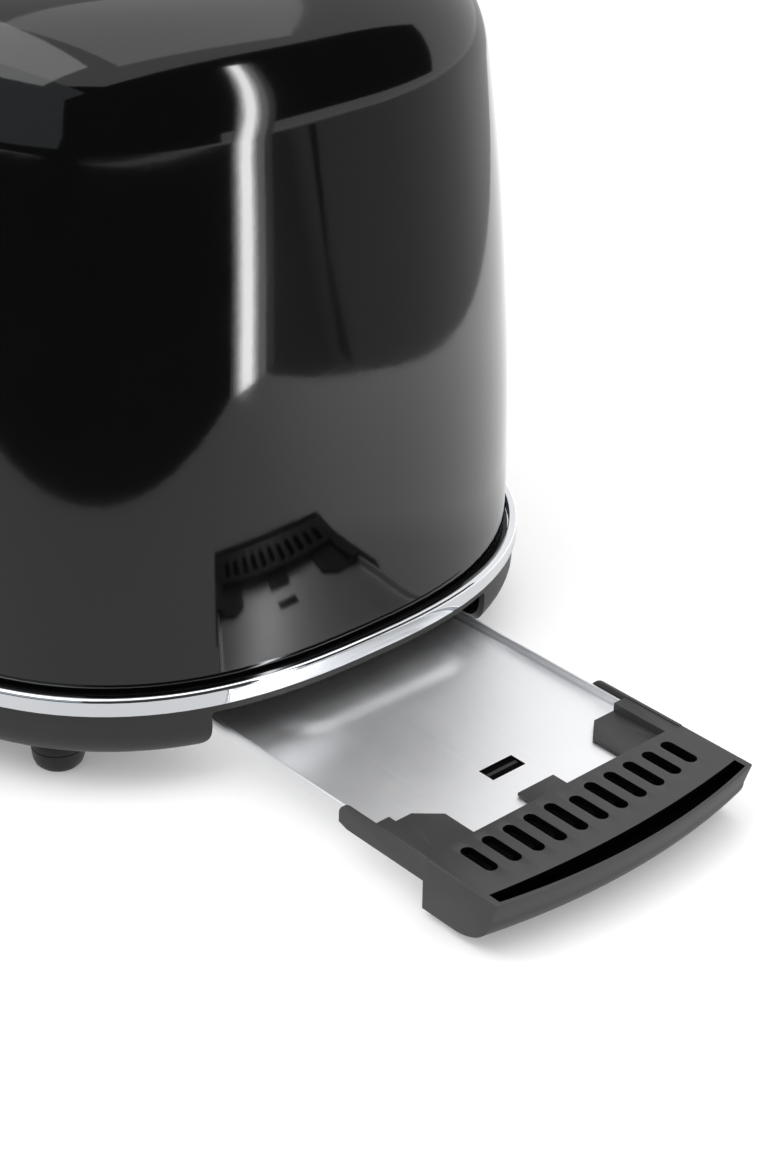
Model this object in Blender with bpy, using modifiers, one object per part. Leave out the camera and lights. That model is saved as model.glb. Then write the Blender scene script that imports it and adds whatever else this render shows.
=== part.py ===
"""Two-slice pop-up toaster with its crumb tray pulled out, built as separate parts.

Units are metres. +Z is up and z = 0 is the surface the feet stand on. The crumb tray pulls
out along +X and the lever is at the -X end. The body is modelled about its own centre and
moved by one parent empty, so that the origin lies under the middle of the whole object.
"""

from math import atan
from math import cos
from math import pi
from math import radians
from math import sin
from math import sqrt

import bmesh
import bpy
from mathutils import Matrix

# ---------------------------------------------------------------- driving dimensions
# Plan outline of the trim ring: straight sides with superelliptic ends.
RING_LENGTH = 0.304
RING_WIDTH = 0.201
END_CAP_LENGTH = 0.1085
CROSS_EXPONENT = 2.55
LONG_EXPONENT = 2.65
CAP_STEPS = 14

# Heights of the body, from the floor up.
BASE_BOTTOM_Z = 0.009
RING_BOTTOM_Z = 0.024
SHELL_BOTTOM_Z = 0.0285
LEAN_START_Z = 0.044
TOTAL_HEIGHT = 0.200
SHOULDER_Z = TOTAL_HEIGHT - 0.036

# Clearances.
GAP = 0.0003
RUNNING_GAP = 0.0006

# Base skirt.
SKIRT_INSET = 0.0010
SKIRT_WALL = 0.0018
SKIRT_CORNER_RADIUS = 0.0085
SKIRT_FLANGE = 0.0185
TRAY_OPENING_SIDE_ROOM = 0.0032
TRAY_OPENING_LINTEL = 0.0020
JAMB_FLARE_RADIUS = 0.0050

# Trim ring, collar and shell.
RING_RIM_WIDTH = 0.0022
RING_RIM_HEIGHT = 0.0050
RING_FLANGE_WIDTH = 0.0070
RING_FLANGE_HEIGHT = 0.0012
RING_EDGE_RADIUS = 0.0012
COLLAR_LEDGE_WIDTH = 0.0011
COLLAR_WIDTH = 0.0064
COLLAR_LEDGE_HEIGHT = 0.0008
SHELL_INSET = 0.0034
SHELL_THICKNESS = 0.0010
SHELL_LEAN = 0.57
SHOULDER_RADIUS = 0.036
SHOULDER_END_ANGLE = radians(84)
PANEL_SEAT_DEPTH = 0.0017
PANEL_SEAT_WIDTH = 0.0050

# Top panel and bread slots.
PANEL_THICKNESS = 0.0014
SLOT_LENGTH = 0.150
SLOT_WIDTH = 0.034
SLOT_SPACING = 0.054
SLOT_CORNER_RADIUS = 0.006
SLOT_RIM_WIDTH = 0.0016
SLOT_RIM_DROP = 0.0080
SLOT_RIM_ROOM = 0.0010

# Bottom plate, rails and chassis.
PLATE_INSET = 0.021
BOTTOM_PLATE_THICKNESS = 0.0008
SHEET_THICKNESS = 0.0008
CHASSIS_HALF_LENGTH = SLOT_LENGTH / 2 + 0.009
CHASSIS_TOP_Z = TOTAL_HEIGHT - 0.022
CHASSIS_CORNER = 0.008
CHASSIS_FOOT_LENGTH = 0.012
CHASSIS_LEG_WIDTH = 0.015
TRAY_PASSAGE_SIDE_ROOM = 0.0030
TRAY_PASSAGE_TOP_Z = 0.0205
TRAY_NOTCH_BACK_X = CHASSIS_HALF_LENGTH + 0.006
RAIL_THICKNESS = 0.0015
RAIL_HEIGHT = 0.0075
RAIL_OVERHANG = 0.006
RAIL_SETBACK = 0.002
REFLECTOR_MARGIN = 0.004
REFLECTOR_BOTTOM_Z = 0.032
REFLECTOR_TOP_Z = CHASSIS_TOP_Z - 0.008

# Heating elements.
BOARD_THICKNESS = 0.0008
BOARD_BOTTOM_Z = 0.046
BOARD_TOP_Z = REFLECTOR_TOP_Z - 0.004
BOARD_NOTCH = 0.0018
OUTER_BOARD_CLEARANCE = 0.0075
REFLECTOR_CLEARANCE = 0.0065
WINDING_WIRE = 0.0010
WINDING_BOTTOM_Z = 0.056
WINDING_TOP_Z = BOARD_TOP_Z - 0.010
WINDING_RUNS = 12
WINDING_SPAN = SLOT_LENGTH - 0.010

# Bread guides.
GUIDE_GAP = SLOT_WIDTH
GUIDE_BAR = 0.0016
GUIDE_BARS = 8
GUIDE_HINGE_Z = 0.052
GUIDE_TOP_Z = BOARD_TOP_Z - 0.002
GUIDE_LENGTH = SLOT_LENGTH
GUIDE_PIN_RADIUS = 0.0012
GUIDE_PIN_REACH = 0.0022

# Carriage, racks and lever.
LEVER_Z = SHOULDER_Z - 0.017
LEVER_LOWERED_Z = 0.092
LEVER_TRAVEL = LEVER_Z - LEVER_LOWERED_Z
RACK_Z = LEVER_Z - 0.032
RACK_THICKNESS = 0.0020
RACK_SPINE_WIDTH = 0.0030
RACK_TINE_LENGTH = 0.0140
RACK_TINE_WIDTH = 0.0030
RACK_TINES = 7
RACK_TINE_SPAN = SLOT_LENGTH - 0.024
RACK_FRONT_REACH = 0.004
BRACKET_WIDTH = SLOT_SPACING + 0.010
BRACKET_BOTTOM_Z = RACK_Z - 0.011
BRACKET_TOP_Z = LEVER_Z + 0.005
BRACKET_THICKNESS = 0.0012
BRACKET_STANDOFF = 0.0040
SLIDE_BLOCK_SIDE = 0.0110
SLIDE_BLOCK_LAP = 0.0004
GUIDE_ROD_RADIUS = 0.0025
GUIDE_ROD_Y = 0.020
GUIDE_ROD_TOP_Z = CHASSIS_TOP_Z - 0.002
SPRING_Y = -0.020
SPRING_RADIUS = 0.0034
SPRING_WIRE = 0.0009
SPRING_TURNS = 9
SPRING_TOP_Z = CHASSIS_TOP_Z - 0.007
SPRING_BOTTOM_Z = LEVER_Z - 0.019
SPRING_TAB_THICKNESS = 0.0012
LEVER_ARM_HEIGHT = 0.0080
LEVER_ARM_WIDTH = 0.0030
LEVER_KNOB_WIDTH = 0.032
LEVER_KNOB_HEIGHT = 0.0120
LEVER_KNOB_DEPTH = 0.0175
LEVER_KNOB_STANDOFF = 0.0035
LEVER_KNOB_EDGE = 0.003

# Latch magnet.
MAGNET_CORE_SIDE = 0.0090
MAGNET_COIL_SIDE = 0.0180
MAGNET_BASE_Z = 0.0240
MAGNET_FOOT_LAP = 0.001
MAGNET_COIL_HEIGHT = 0.0120
ARMATURE_SIDE = 0.0140
ARMATURE_THICKNESS = 0.0016
LATCH_GAP = 0.0005

# Control panel, knob and buttons.
CONTROL_WIDTH = 0.054
CONTROL_BOTTOM_Z = 0.035
CONTROL_TOP_Z = SHOULDER_Z - 0.003
CONTROL_CORNER_RADIUS = 0.012
CONTROL_PROUD = 0.0012
CONTROL_THICKNESS = 0.0030
LEVER_SLOT_WIDTH = 0.0060
LEVER_SLOT_MARGIN = 0.0015
KNOB_Z = 0.0680
KNOB_RADIUS = 0.0150
KNOB_DEPTH = 0.0130
KNOB_STANDOFF = 0.0008
KNOB_SOCKET_DEPTH = 0.0090
KNOB_SKIRT_HEIGHT = 0.0030
DIAL_SHAFT_RADIUS = 0.0030
BUTTON_Z = 0.0445
BUTTON_SPACING = 0.0150
BUTTON_RADIUS = 0.0045
BUTTON_STAND_PROUD = 0.0030
BUTTON_FLANGE_RADIUS = 0.0058
BUTTON_FLANGE_DEPTH = 0.0012
BUTTON_STEM_DEPTH = 0.0028

# Circuit board and its parts.
PCB_STANDOFF = 0.0150
PCB_THICKNESS = 0.0016
PCB_WIDTH = 0.060
PCB_BOTTOM_Z = 0.028
PCB_TOP_Z = 0.080
POT_RADIUS = 0.0080
POT_DEPTH = 0.0070
TERMINAL_SIZE = (0.012, 0.024, 0.014)
TERMINAL_OFFSET_X = 0.0145
TERMINAL_Y = 0.050
SWITCH_SIDE = 0.0062
SWITCH_DEPTH = 0.0050

# Cord gland.
GLAND_BORE_RADIUS = 0.0030
GLAND_NECK_RADIUS = 0.0040
GLAND_FLANGE_RADIUS = 0.0054
GLAND_FLANGE_DEPTH = 0.0030
GLAND_NECK_LENGTH = 0.0046
GLAND_Z = 0.0180

# Feet.
FOOT_INSET = 0.01435
FOOT_PLACE = radians(50.9)
FOOT_RADIUS = 0.0072
FOOT_NECK_RADIUS = 0.0026
FOOT_BULB_RADIUS = 0.0034
FOOT_BULB_HEIGHT = 0.0034

# Screws.
SCREW_RADIUS = 0.0015
SCREW_HEAD_RADIUS = 0.0029
SCREW_HEAD_HEIGHT = 0.0016
SCREW_LENGTH = 0.0058
CHASSIS_SCREW_MARGIN = 0.005
BASE_SCREW_X = 0.040
BASE_SCREW_INSET = 0.024

# Crumb tray: pan.
TRAY_PULLED_OUT = 0.0970
TRAY_FRONT_SETBACK = 0.0006
PAN_LENGTH = 0.200
PAN_WIDTH = 0.0856
PAN_HEIGHT = 0.0032
PAN_CLEARANCE = 0.0004
PAN_FLOOR = 0.0007
PAN_RIM = 0.0010
PAN_WINDOW_FRONT = 0.0454
PAN_WINDOW_LENGTH = 0.0052
PAN_WINDOW_WIDTH = 0.0112
PAN_PRESSING_FRONT = 0.0886
PAN_PRESSING_WIDTH = 0.060
PAN_PRESSING_RADIUS = 0.011
PAN_PRESSING_BACK_MARGIN = 0.012
PAN_PRESSING_HEIGHT = 0.0008

# Crumb tray: handle.
HANDLE_WIDTH = PAN_WIDTH + 2 * 0.0012
HANDLE_DEPTH = 0.0292
HANDLE_TOP_Z = 0.0166
HANDLE_BOTTOM_Z = 0.0023
HANDLE_FRONT_RADIUS = 0.196
HANDLE_LIP_Z = 0.0103
HANDLE_LIP_SETBACK = 0.0020
HANDLE_NOSE_DEPTH = 0.0138
HANDLE_ROOF = 0.0020
HANDLE_SIDE_WALL = 0.0020
HANDLE_BACK_WALL = 0.0018
VENT_COUNT = 11
VENT_END_MARGIN = 0.00965
VENT_WIDTH = 0.0036
VENT_BACK = 0.0244
VENT_MIDDLE_BACK = 0.0227
VENT_FRONT = 0.0144
VENT_FRONT_RADIUS = 0.235
GROOVE_END_MARGIN = 0.0018
GROOVE_BACK = 0.0061
GROOVE_BACK_RADIUS = 0.285
GROOVE_LIP = 0.0008
GROOVE_FRONT_RADIUS = 0.181
GROOVE_DEPTH = 0.0055
GROOVE_LEAN = 0.0020
CUT_OVERLAP = 0.0010
ARM_LENGTH = 0.0299
ARM_THICKNESS = 0.0009
ARM_TOP_Z = HANDLE_TOP_Z + 0.0002
ARM_BOTTOM_Z = 0.0102
ARM_CORNER_RADIUS = 0.0035
ARM_CHAMFER = 0.0030
RAIL_CAP_LENGTH = 0.0177
RAIL_CAP_WIDTH = 0.0052
RAIL_CAP_TOP_Z = HANDLE_TOP_Z - 0.0001
TAB_THICKNESS = 0.0009
TAB_WIDTH = 0.0185
TAB_REAR_WIDTH = 0.0124
TAB_CHAMFER = 0.0054
CENTRE_TAB_LENGTH = 0.0072
CENTRE_TAB_WIDTH = 0.0122

# ---------------------------------------------------------------- derived sizes
HALF_LENGTH = RING_LENGTH / 2
HALF_WIDTH = RING_WIDTH / 2
SKIRT_TOP_Z = RING_BOTTOM_Z - GAP
SKIRT_FLANGE_TOP_Z = BASE_BOTTOM_Z + SKIRT_WALL
BOTTOM_PLATE_Z = SKIRT_FLANGE_TOP_Z + GAP
BOTTOM_PLATE_TOP_Z = BOTTOM_PLATE_Z + BOTTOM_PLATE_THICKNESS
CHASSIS_BOTTOM_Z = BOTTOM_PLATE_TOP_Z + GAP
PAN_BOTTOM_Z = BOTTOM_PLATE_TOP_Z + PAN_CLEARANCE
PAN_FLOOR_TOP_Z = PAN_BOTTOM_Z + PAN_FLOOR
TAB_BOTTOM_Z = PAN_FLOOR_TOP_Z + GAP
TRAY_FRONT_X = HALF_LENGTH - TRAY_FRONT_SETBACK + TRAY_PULLED_OUT
TRAY_OPENING_WIDTH = HANDLE_WIDTH + 2 * TRAY_OPENING_SIDE_ROOM
TRAY_PASSAGE_WIDTH = HANDLE_WIDTH + 2 * TRAY_PASSAGE_SIDE_ROOM
VENT_PITCH = (HANDLE_WIDTH - 2 * VENT_END_MARGIN) / (VENT_COUNT - 1)
GROOVE_HALF_WIDTH = HANDLE_WIDTH / 2 - GROOVE_END_MARGIN
RAIL_CAP_INNER_Y = HANDLE_WIDTH / 2 - RAIL_CAP_WIDTH
TAB_INNER_Y = HANDLE_WIDTH / 2 - TAB_WIDTH
TAB_REAR_INNER_Y = HANDLE_WIDTH / 2 - TAB_REAR_WIDTH
OUTER_BOARD_SPACING = SLOT_SPACING + GUIDE_GAP + 2 * OUTER_BOARD_CLEARANCE
REFLECTOR_SPACING = OUTER_BOARD_SPACING + 2 * REFLECTOR_CLEARANCE
CHASSIS_WIDTH = max(
    REFLECTOR_SPACING + 2 * REFLECTOR_MARGIN,
    TRAY_PASSAGE_WIDTH + 2 * CHASSIS_LEG_WIDTH,
)
CHASSIS_SCREW_X = CHASSIS_HALF_LENGTH + CHASSIS_FOOT_LENGTH / 2
CHASSIS_SCREW_Y = CHASSIS_WIDTH / 2 - CHASSIS_SCREW_MARGIN
BASE_SCREW_Y = HALF_WIDTH - BASE_SCREW_INSET
SLOT_Y = SLOT_SPACING / 2
GUIDE_YS = {
    "left_inner": SLOT_Y - GUIDE_GAP / 2,
    "left_outer": SLOT_Y + GUIDE_GAP / 2,
    "right_inner": -SLOT_Y + GUIDE_GAP / 2,
    "right_outer": -SLOT_Y - GUIDE_GAP / 2,
}
BRACKET_X = -CHASSIS_HALF_LENGTH - BRACKET_STANDOFF
SLIDE_X = BRACKET_X - BRACKET_THICKNESS - SLIDE_BLOCK_SIDE / 2 + SLIDE_BLOCK_LAP
ROUND = 24
SMALL_ROUND = 12


def lean_inset(z):
    """How far the shell's wall lies inside the ring's outline at height z."""
    rise = max(z - LEAN_START_Z, 0)
    return SHELL_INSET + SHELL_LEAN * rise * rise


def shoulder_start():
    """The angle off vertical and the inset where the wall meets the shoulder arc."""
    angle = atan(2 * SHELL_LEAN * (SHOULDER_Z - LEAN_START_Z))
    return angle, lean_inset(SHOULDER_Z)


def shoulder_point(angle, thickness=0):
    """A point on the shoulder arc, moved inwards along its normal by the thickness."""
    start, inset = shoulder_start()
    radius = SHOULDER_RADIUS - thickness
    centre_inset = inset + SHOULDER_RADIUS * cos(start)
    centre_z = SHOULDER_Z - SHOULDER_RADIUS * sin(start)
    return centre_inset - radius * cos(angle), centre_z + radius * sin(angle)


SEAT_INSET, SEAT_RIM_Z = shoulder_point(SHOULDER_END_ANGLE)
PANEL_INSET = SEAT_INSET + 2 * GAP
PANEL_BOTTOM_Z = SEAT_RIM_Z - PANEL_SEAT_DEPTH + GAP
PANEL_TOP_Z = PANEL_BOTTOM_Z + PANEL_THICKNESS


def end_surface_x(y, z):
    """The X of the shell's outer face at the lever end."""
    inset = lean_inset(z)
    cap = END_CAP_LENGTH - inset
    across = min(abs(y) / (HALF_WIDTH - inset), 1)
    reach = cap * (1 - across**CROSS_EXPONENT) ** (1 / LONG_EXPONENT)
    return -(HALF_LENGTH - END_CAP_LENGTH) - reach


LEVER_KNOB_FACE_X = end_surface_x(0, LEVER_Z - LEVER_TRAVEL) - CONTROL_PROUD - LEVER_KNOB_STANDOFF
LEVER_REACH_X = LEVER_KNOB_FACE_X - LEVER_KNOB_DEPTH
BODY_X = -(TRAY_FRONT_X + LEVER_REACH_X) / 2
KNOB_PANEL_X = end_surface_x(0, KNOB_Z) - CONTROL_PROUD
PCB_X = end_surface_x(0, BUTTON_Z) + PCB_STANDOFF


# ---------------------------------------------------------------- helpers
def clear_scene():
    for obj in list(bpy.data.objects):
        bpy.data.objects.remove(obj, do_unlink=True)


def new_collection(name):
    collection = bpy.data.collections.new(name)
    bpy.context.scene.collection.children.link(collection)
    return collection


def make_material(name, colour, roughness, metallic=0.0):
    material = bpy.data.materials.new(name)
    material.use_nodes = True
    shader = material.node_tree.nodes["Principled BSDF"]
    shader.inputs["Base Color"].default_value = (*colour, 1)
    shader.inputs["Roughness"].default_value = roughness
    shader.inputs["Metallic"].default_value = metallic
    material.diffuse_color = (*colour, 1)
    return material


def empty_at(name, location, parent=None):
    empty = bpy.data.objects.new(name, None)
    empty.location = location
    empty.parent = parent
    empty.empty_display_size = 0.02
    parts.objects.link(empty)
    return empty


def put(obj, material=None, parent=None, location=None):
    """Files an object as a part, or as a cutter when it has no material."""
    for collection in list(obj.users_collection):
        collection.objects.unlink(obj)
    obj.parent = parent or body
    if location is not None:
        obj.location = location
    if material is None:
        cutters.objects.link(obj)
        obj.hide_render = True
        obj.display_type = "WIRE"
    else:
        parts.objects.link(obj)
        obj.data.materials.clear()
        obj.data.materials.append(material)
    return obj


def object_of(name, mesh_builder):
    mesh = bpy.data.meshes.new(name)
    mesh_builder.to_mesh(mesh)
    mesh_builder.free()
    return bpy.data.objects.new(name, mesh)


def box(name, low, high, material=None, parent=None, bevel=0):
    """A box between two corners, with its object's origin at its centre."""
    centre = [(a + b) / 2 for a, b in zip(low, high)]
    size = [b - a for a, b in zip(low, high)]
    mesh_builder = bmesh.new()
    bmesh.ops.create_cube(mesh_builder, size=1, matrix=Matrix.Diagonal((*size, 1)))
    obj = put(object_of(name, mesh_builder), material, parent, centre)
    if bevel:
        modifier = obj.modifiers.new("rounded_edges", "BEVEL")
        modifier.width = bevel
        modifier.segments = 2
    return obj


def cylinder(name, radius, low_z, high_z, place, material=None, parent=None, steps=ROUND):
    """An upright cylinder between two heights at place (x, y)."""
    mesh_builder = bmesh.new()
    bmesh.ops.create_cone(
        mesh_builder,
        cap_ends=True,
        segments=steps,
        radius1=radius,
        radius2=radius,
        depth=high_z - low_z,
    )
    location = (place[0], place[1], (low_z + high_z) / 2)
    return put(object_of(name, mesh_builder), material, parent, location)


def cylinder_x(name, radius, low_x, high_x, place, material=None, parent=None, steps=ROUND):
    """A cylinder along X between two places, at place (y, z)."""
    obj = cylinder(name, radius, low_x, high_x, (0, 0), material, parent, steps)
    obj.rotation_euler = (0, pi / 2, 0)
    obj.location = ((low_x + high_x) / 2, place[0], place[1])
    return obj


def turned(name, profile, material, location, parent=None, along_x=False, steps=ROUND):
    """A solid of revolution: profile lists (radius, height), from the top down its outside."""
    mesh = bpy.data.meshes.new(name)
    points = [(radius, 0, height) for radius, height in profile]
    edges = [(i, i + 1) for i in range(len(points) - 1)]
    if profile[0][0] > 0:
        edges.append((len(points) - 1, 0))
    mesh.from_pydata(points, edges, [])
    obj = put(bpy.data.objects.new(name, mesh), material, parent, location)
    if along_x:
        obj.rotation_euler = (0, -pi / 2, 0)
    screw = obj.modifiers.new("turn", "SCREW")
    screw.steps = steps
    screw.render_steps = steps
    screw.use_merge_vertices = True
    screw.merge_threshold = 0.00002
    return obj


PLANES = {
    "XY": Matrix.Identity(3),
    "XZ": Matrix(((1, 0, 0), (0, 0, -1), (0, 1, 0))),
    "YZ": Matrix(((0, 0, 1), (1, 0, 0), (0, 1, 0))),
}


def flat(name, outlines, thickness, plane, location, material=None, parent=None):
    """A flat piece: closed outlines, the later ones as holes, extruded about their plane."""
    curve = bpy.data.curves.new(name, "CURVE")
    curve.dimensions = "2D"
    curve.fill_mode = "BOTH"
    curve.extrude = thickness / 2
    for outline in outlines:
        spline = curve.splines.new("POLY")
        spline.points.add(len(outline) - 1)
        for point, (x, y) in zip(spline.points, outline):
            point.co = (x, y, 0, 1)
        spline.use_cyclic_u = True
    obj = put(bpy.data.objects.new(name, curve), material, parent, location)
    obj.rotation_euler = PLANES[plane].to_euler()
    return obj


def wire(name, points, radius, material, parent=None, resolution=0):
    """A bent wire through the points, with filled ends."""
    curve = bpy.data.curves.new(name, "CURVE")
    curve.dimensions = "3D"
    curve.bevel_depth = radius
    curve.bevel_resolution = resolution
    curve.use_fill_caps = True
    spline = curve.splines.new("POLY")
    spline.points.add(len(points) - 1)
    for point, place in zip(spline.points, points):
        point.co = (*place, 1)
    return put(bpy.data.objects.new(name, curve), material, parent)


def as_mesh(obj):
    """The same piece as a mesh with its caps welded, so that a Boolean can use it."""
    bpy.context.view_layer.update()
    graph = bpy.context.evaluated_depsgraph_get()
    mesh = bpy.data.meshes.new_from_object(obj.evaluated_get(graph))
    mesh_builder = bmesh.new()
    mesh_builder.from_mesh(mesh)
    bmesh.ops.remove_doubles(mesh_builder, verts=mesh_builder.verts, dist=0.000001)
    bmesh.ops.recalc_face_normals(mesh_builder, faces=mesh_builder.faces)
    mesh_builder.to_mesh(mesh)
    mesh_builder.free()
    name = obj.name
    obj.name = name + "_outline"
    made = bpy.data.objects.new(name, mesh)
    for collection in obj.users_collection:
        collection.objects.link(made)
    made.parent = obj.parent
    made.location = obj.location
    made.rotation_euler = obj.rotation_euler
    made.hide_render = obj.hide_render
    made.display_type = obj.display_type
    bpy.data.objects.remove(obj, do_unlink=True)
    return made


def join(obj, other):
    modifier = obj.modifiers.new("join_" + other.name, "BOOLEAN")
    modifier.operation = "UNION"
    modifier.object = other


def cut(obj, other):
    modifier = obj.modifiers.new("cut_" + other.name, "BOOLEAN")
    modifier.operation = "DIFFERENCE"
    modifier.object = other


def smooth(obj, angle=35):
    obj.data.shade_smooth()
    obj.data.set_sharp_from_angle(angle=radians(angle))


def circle(x, y, radius, steps=SMALL_ROUND):
    """A hole's outline. Each starts at its own angle, so that no two holes' points line up."""
    start = 50 * x + 30 * y
    turns = [start + 2 * pi * i / steps for i in range(steps)]
    return [(x + radius * cos(t), y + radius * sin(t)) for t in turns]


def rectangle(low_x, low_y, high_x, high_y):
    return [(low_x, low_y), (high_x, low_y), (high_x, high_y), (low_x, high_y)]


def rounded_rectangle(width, height, radius, steps=4):
    """An outline about the origin, anticlockwise, with quarter-circle corners."""
    points = []
    for corner in range(4):
        x = (width / 2 - radius) * (1 if corner in (0, 3) else -1)
        y = (height / 2 - radius) * (1 if corner in (0, 1) else -1)
        for i in range(steps + 1):
            angle = pi / 2 * (corner + i / steps)
            points.append((x + radius * cos(angle), y + radius * sin(angle)))
    return points


def plan_outline(inset):
    """The body's outline in plan, moved inwards by the inset."""
    cap = END_CAP_LENGTH - inset
    half_width = HALF_WIDTH - inset
    straight = HALF_LENGTH - END_CAP_LENGTH
    points = []
    for end in (1, -1):
        for i in range(CAP_STEPS + 1):
            t = pi * (i / CAP_STEPS - 0.5)
            x = cap * abs(cos(t)) ** (2 / LONG_EXPONENT)
            y = half_width * abs(sin(t)) ** (2 / CROSS_EXPONENT)
            y = y if t > 0 else -y
            points.append((end * (straight + x), end * y))
    return points


def wrapped(name, section, material):
    """A closed section of (inset, z) points carried round the body's outline."""
    mesh_builder = bmesh.new()
    rings = [
        [mesh_builder.verts.new((x, y, z)) for x, y in plan_outline(inset)]
        for inset, z in section
    ]
    for first, second in zip(rings, rings[1:] + rings[:1]):
        for i in range(len(first)):
            j = (i + 1) % len(first)
            mesh_builder.faces.new((first[i], first[j], second[j], second[i]))
    bmesh.ops.recalc_face_normals(mesh_builder, faces=mesh_builder.faces)
    return put(object_of(name, mesh_builder), material, location=(0, 0, 0))


def arc_points(centre, radius, start, end, steps):
    """Points on an arc from one angle to the other, both included."""
    angles = [start + (end - start) * i / steps for i in range(steps + 1)]
    return [(centre[0] + radius * cos(a), centre[1] + radius * sin(a)) for a in angles]


# ---------------------------------------------------------------- casing
def make_base_skirt():
    """Moulded base: an upright wall that curls under into a flange, with the tray's opening."""
    centre = (SKIRT_INSET + SKIRT_CORNER_RADIUS, BASE_BOTTOM_Z + SKIRT_CORNER_RADIUS)
    flange_end = centre[0] + SKIRT_FLANGE
    inner_radius = SKIRT_CORNER_RADIUS - SKIRT_WALL
    section = [(SKIRT_INSET, SKIRT_TOP_Z)]
    section += arc_points(centre, SKIRT_CORNER_RADIUS, pi, 1.5 * pi, 5)
    section += [(flange_end, BASE_BOTTOM_Z), (flange_end, SKIRT_FLANGE_TOP_Z)]
    section += arc_points(centre, inner_radius, 1.5 * pi, pi, 4)
    section += [(SKIRT_INSET + SKIRT_WALL, SKIRT_TOP_Z)]
    skirt = wrapped("base_skirt", section, PLASTIC)
    cut(skirt, tray_opening_cutter())
    for name, x, y in feet():
        cut(skirt, flange_hole("hole_" + name, x, y, FOOT_NECK_RADIUS + GAP))
    for name, x, y in base_screws():
        cut(skirt, flange_hole("hole_" + name, x, y, SCREW_RADIUS + GAP))
    for name, x, y in chassis_screws():
        cut(skirt, flange_hole("relief_" + name, x, y, SCREW_HEAD_RADIUS + RUNNING_GAP))
    reach = -HALF_LENGTH - SKIRT_WALL
    bore = cylinder_x(
        "hole_cord_gland",
        GLAND_NECK_RADIUS + GAP,
        reach,
        reach + 4 * SKIRT_WALL,
        (0, GLAND_Z),
    )
    cut(skirt, bore)
    smooth(skirt)


def flange_hole(name, x, y, radius):
    low_z = BASE_BOTTOM_Z - SKIRT_WALL
    return cylinder(name, radius, low_z, BOTTOM_PLATE_TOP_Z + SKIRT_WALL, (x, y), steps=SMALL_ROUND)


def tray_opening_cutter():
    """A doorway shape seen from the tray's end: its lower corners flare outwards."""
    half = TRAY_OPENING_WIDTH / 2
    lintel = SKIRT_TOP_Z - TRAY_OPENING_LINTEL
    flare_z = BASE_BOTTOM_Z + JAMB_FLARE_RADIUS
    centre = (half + JAMB_FLARE_RADIUS, flare_z)
    right = [(half, lintel)] + arc_points(centre, JAMB_FLARE_RADIUS, pi, 1.5 * pi, 4)
    right.append((half + JAMB_FLARE_RADIUS, BASE_BOTTOM_Z - SKIRT_WALL))
    left = [(-y, z) for y, z in reversed(right)]
    depth = HALF_LENGTH + SKIRT_WALL - TRAY_NOTCH_BACK_X
    middle_x = TRAY_NOTCH_BACK_X + depth / 2
    return as_mesh(flat("tray_opening", [right + left], depth, "YZ", (middle_x, 0, 0)))


def make_chrome_ring():
    """Trim ring: a rim with rounded top edges and a flange that reaches under the collar."""
    low = RING_BOTTOM_Z
    top = low + RING_RIM_HEIGHT
    ledge = low + RING_FLANGE_HEIGHT
    radius = RING_EDGE_RADIUS
    section = [(0, low)]
    section += arc_points((radius, top - radius), radius, pi, pi / 2, 4)
    section += [(RING_RIM_WIDTH - 0.0003, top), (RING_RIM_WIDTH, top - 0.0003)]
    section += [(RING_RIM_WIDTH, ledge), (RING_FLANGE_WIDTH, ledge), (RING_FLANGE_WIDTH, low)]
    smooth(wrapped("chrome_ring", section, CHROME))


def make_base_collar():
    """Spacer between ring and shell: its low outer ledge is the floor of the dark gap."""
    low = RING_BOTTOM_Z + RING_FLANGE_HEIGHT + GAP
    ledge = low + COLLAR_LEDGE_HEIGHT
    top = SHELL_BOTTOM_Z - GAP
    outer = RING_RIM_WIDTH + GAP
    step = outer + COLLAR_LEDGE_WIDTH
    inner = outer + COLLAR_WIDTH
    section = [(outer, low), (outer, ledge), (step, ledge), (step, top), (inner, top), (inner, low)]
    smooth(wrapped("base_collar", section, DARK_PLASTIC))


def make_outer_shell():
    """Painted sheet shell: a leaning wall, a round shoulder and a seat for the top panel."""
    rise = SHOULDER_Z - LEAN_START_Z
    wall_zs = [SHELL_BOTTOM_Z]
    wall_zs += [LEAN_START_Z + share * rise for share in (0, 0.22, 0.43, 0.62, 0.80, 0.91)]
    section = [(lean_inset(z), z) for z in wall_zs]
    start = shoulder_start()[0]
    sweep = SHOULDER_END_ANGLE - start
    section += [shoulder_point(start + sweep * i / 8) for i in range(9)]
    seat_z = SEAT_RIM_Z - PANEL_SEAT_DEPTH
    seat_inset = SEAT_INSET + GAP
    section += [
        (seat_inset, SEAT_RIM_Z),
        (seat_inset, seat_z),
        (seat_inset + PANEL_SEAT_WIDTH, seat_z),
        (seat_inset + PANEL_SEAT_WIDTH, seat_z - SHELL_THICKNESS),
        (seat_inset - SHELL_THICKNESS, seat_z - SHELL_THICKNESS),
    ]
    inner_arc = [shoulder_point(start + sweep * i / 8, SHELL_THICKNESS) for i in (6, 4, 2, 0)]
    section += inner_arc
    section += [(lean_inset(z) + SHELL_THICKNESS, z) for z in wall_zs[:0:-2]]
    section += [(SHELL_INSET + SHELL_THICKNESS, SHELL_BOTTOM_Z)]
    shell = wrapped("outer_shell", section, PAINT)
    window = control_outline(GAP)
    middle_z = (CONTROL_BOTTOM_Z + CONTROL_TOP_Z) / 2
    place = (-HALF_LENGTH, 0, middle_z)
    cut(shell, as_mesh(flat("control_window", [window], 0.06, "YZ", place)))
    for side, y in (("left", SLOT_Y), ("right", -SLOT_Y)):
        reach = SLOT_RIM_WIDTH + SLOT_RIM_ROOM
        outline = slot_outline(reach)
        cut(shell, as_mesh(flat("rim_relief_" + side, [outline], 0.06, "XY", (0, y, PANEL_TOP_Z))))
    smooth(shell)


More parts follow.
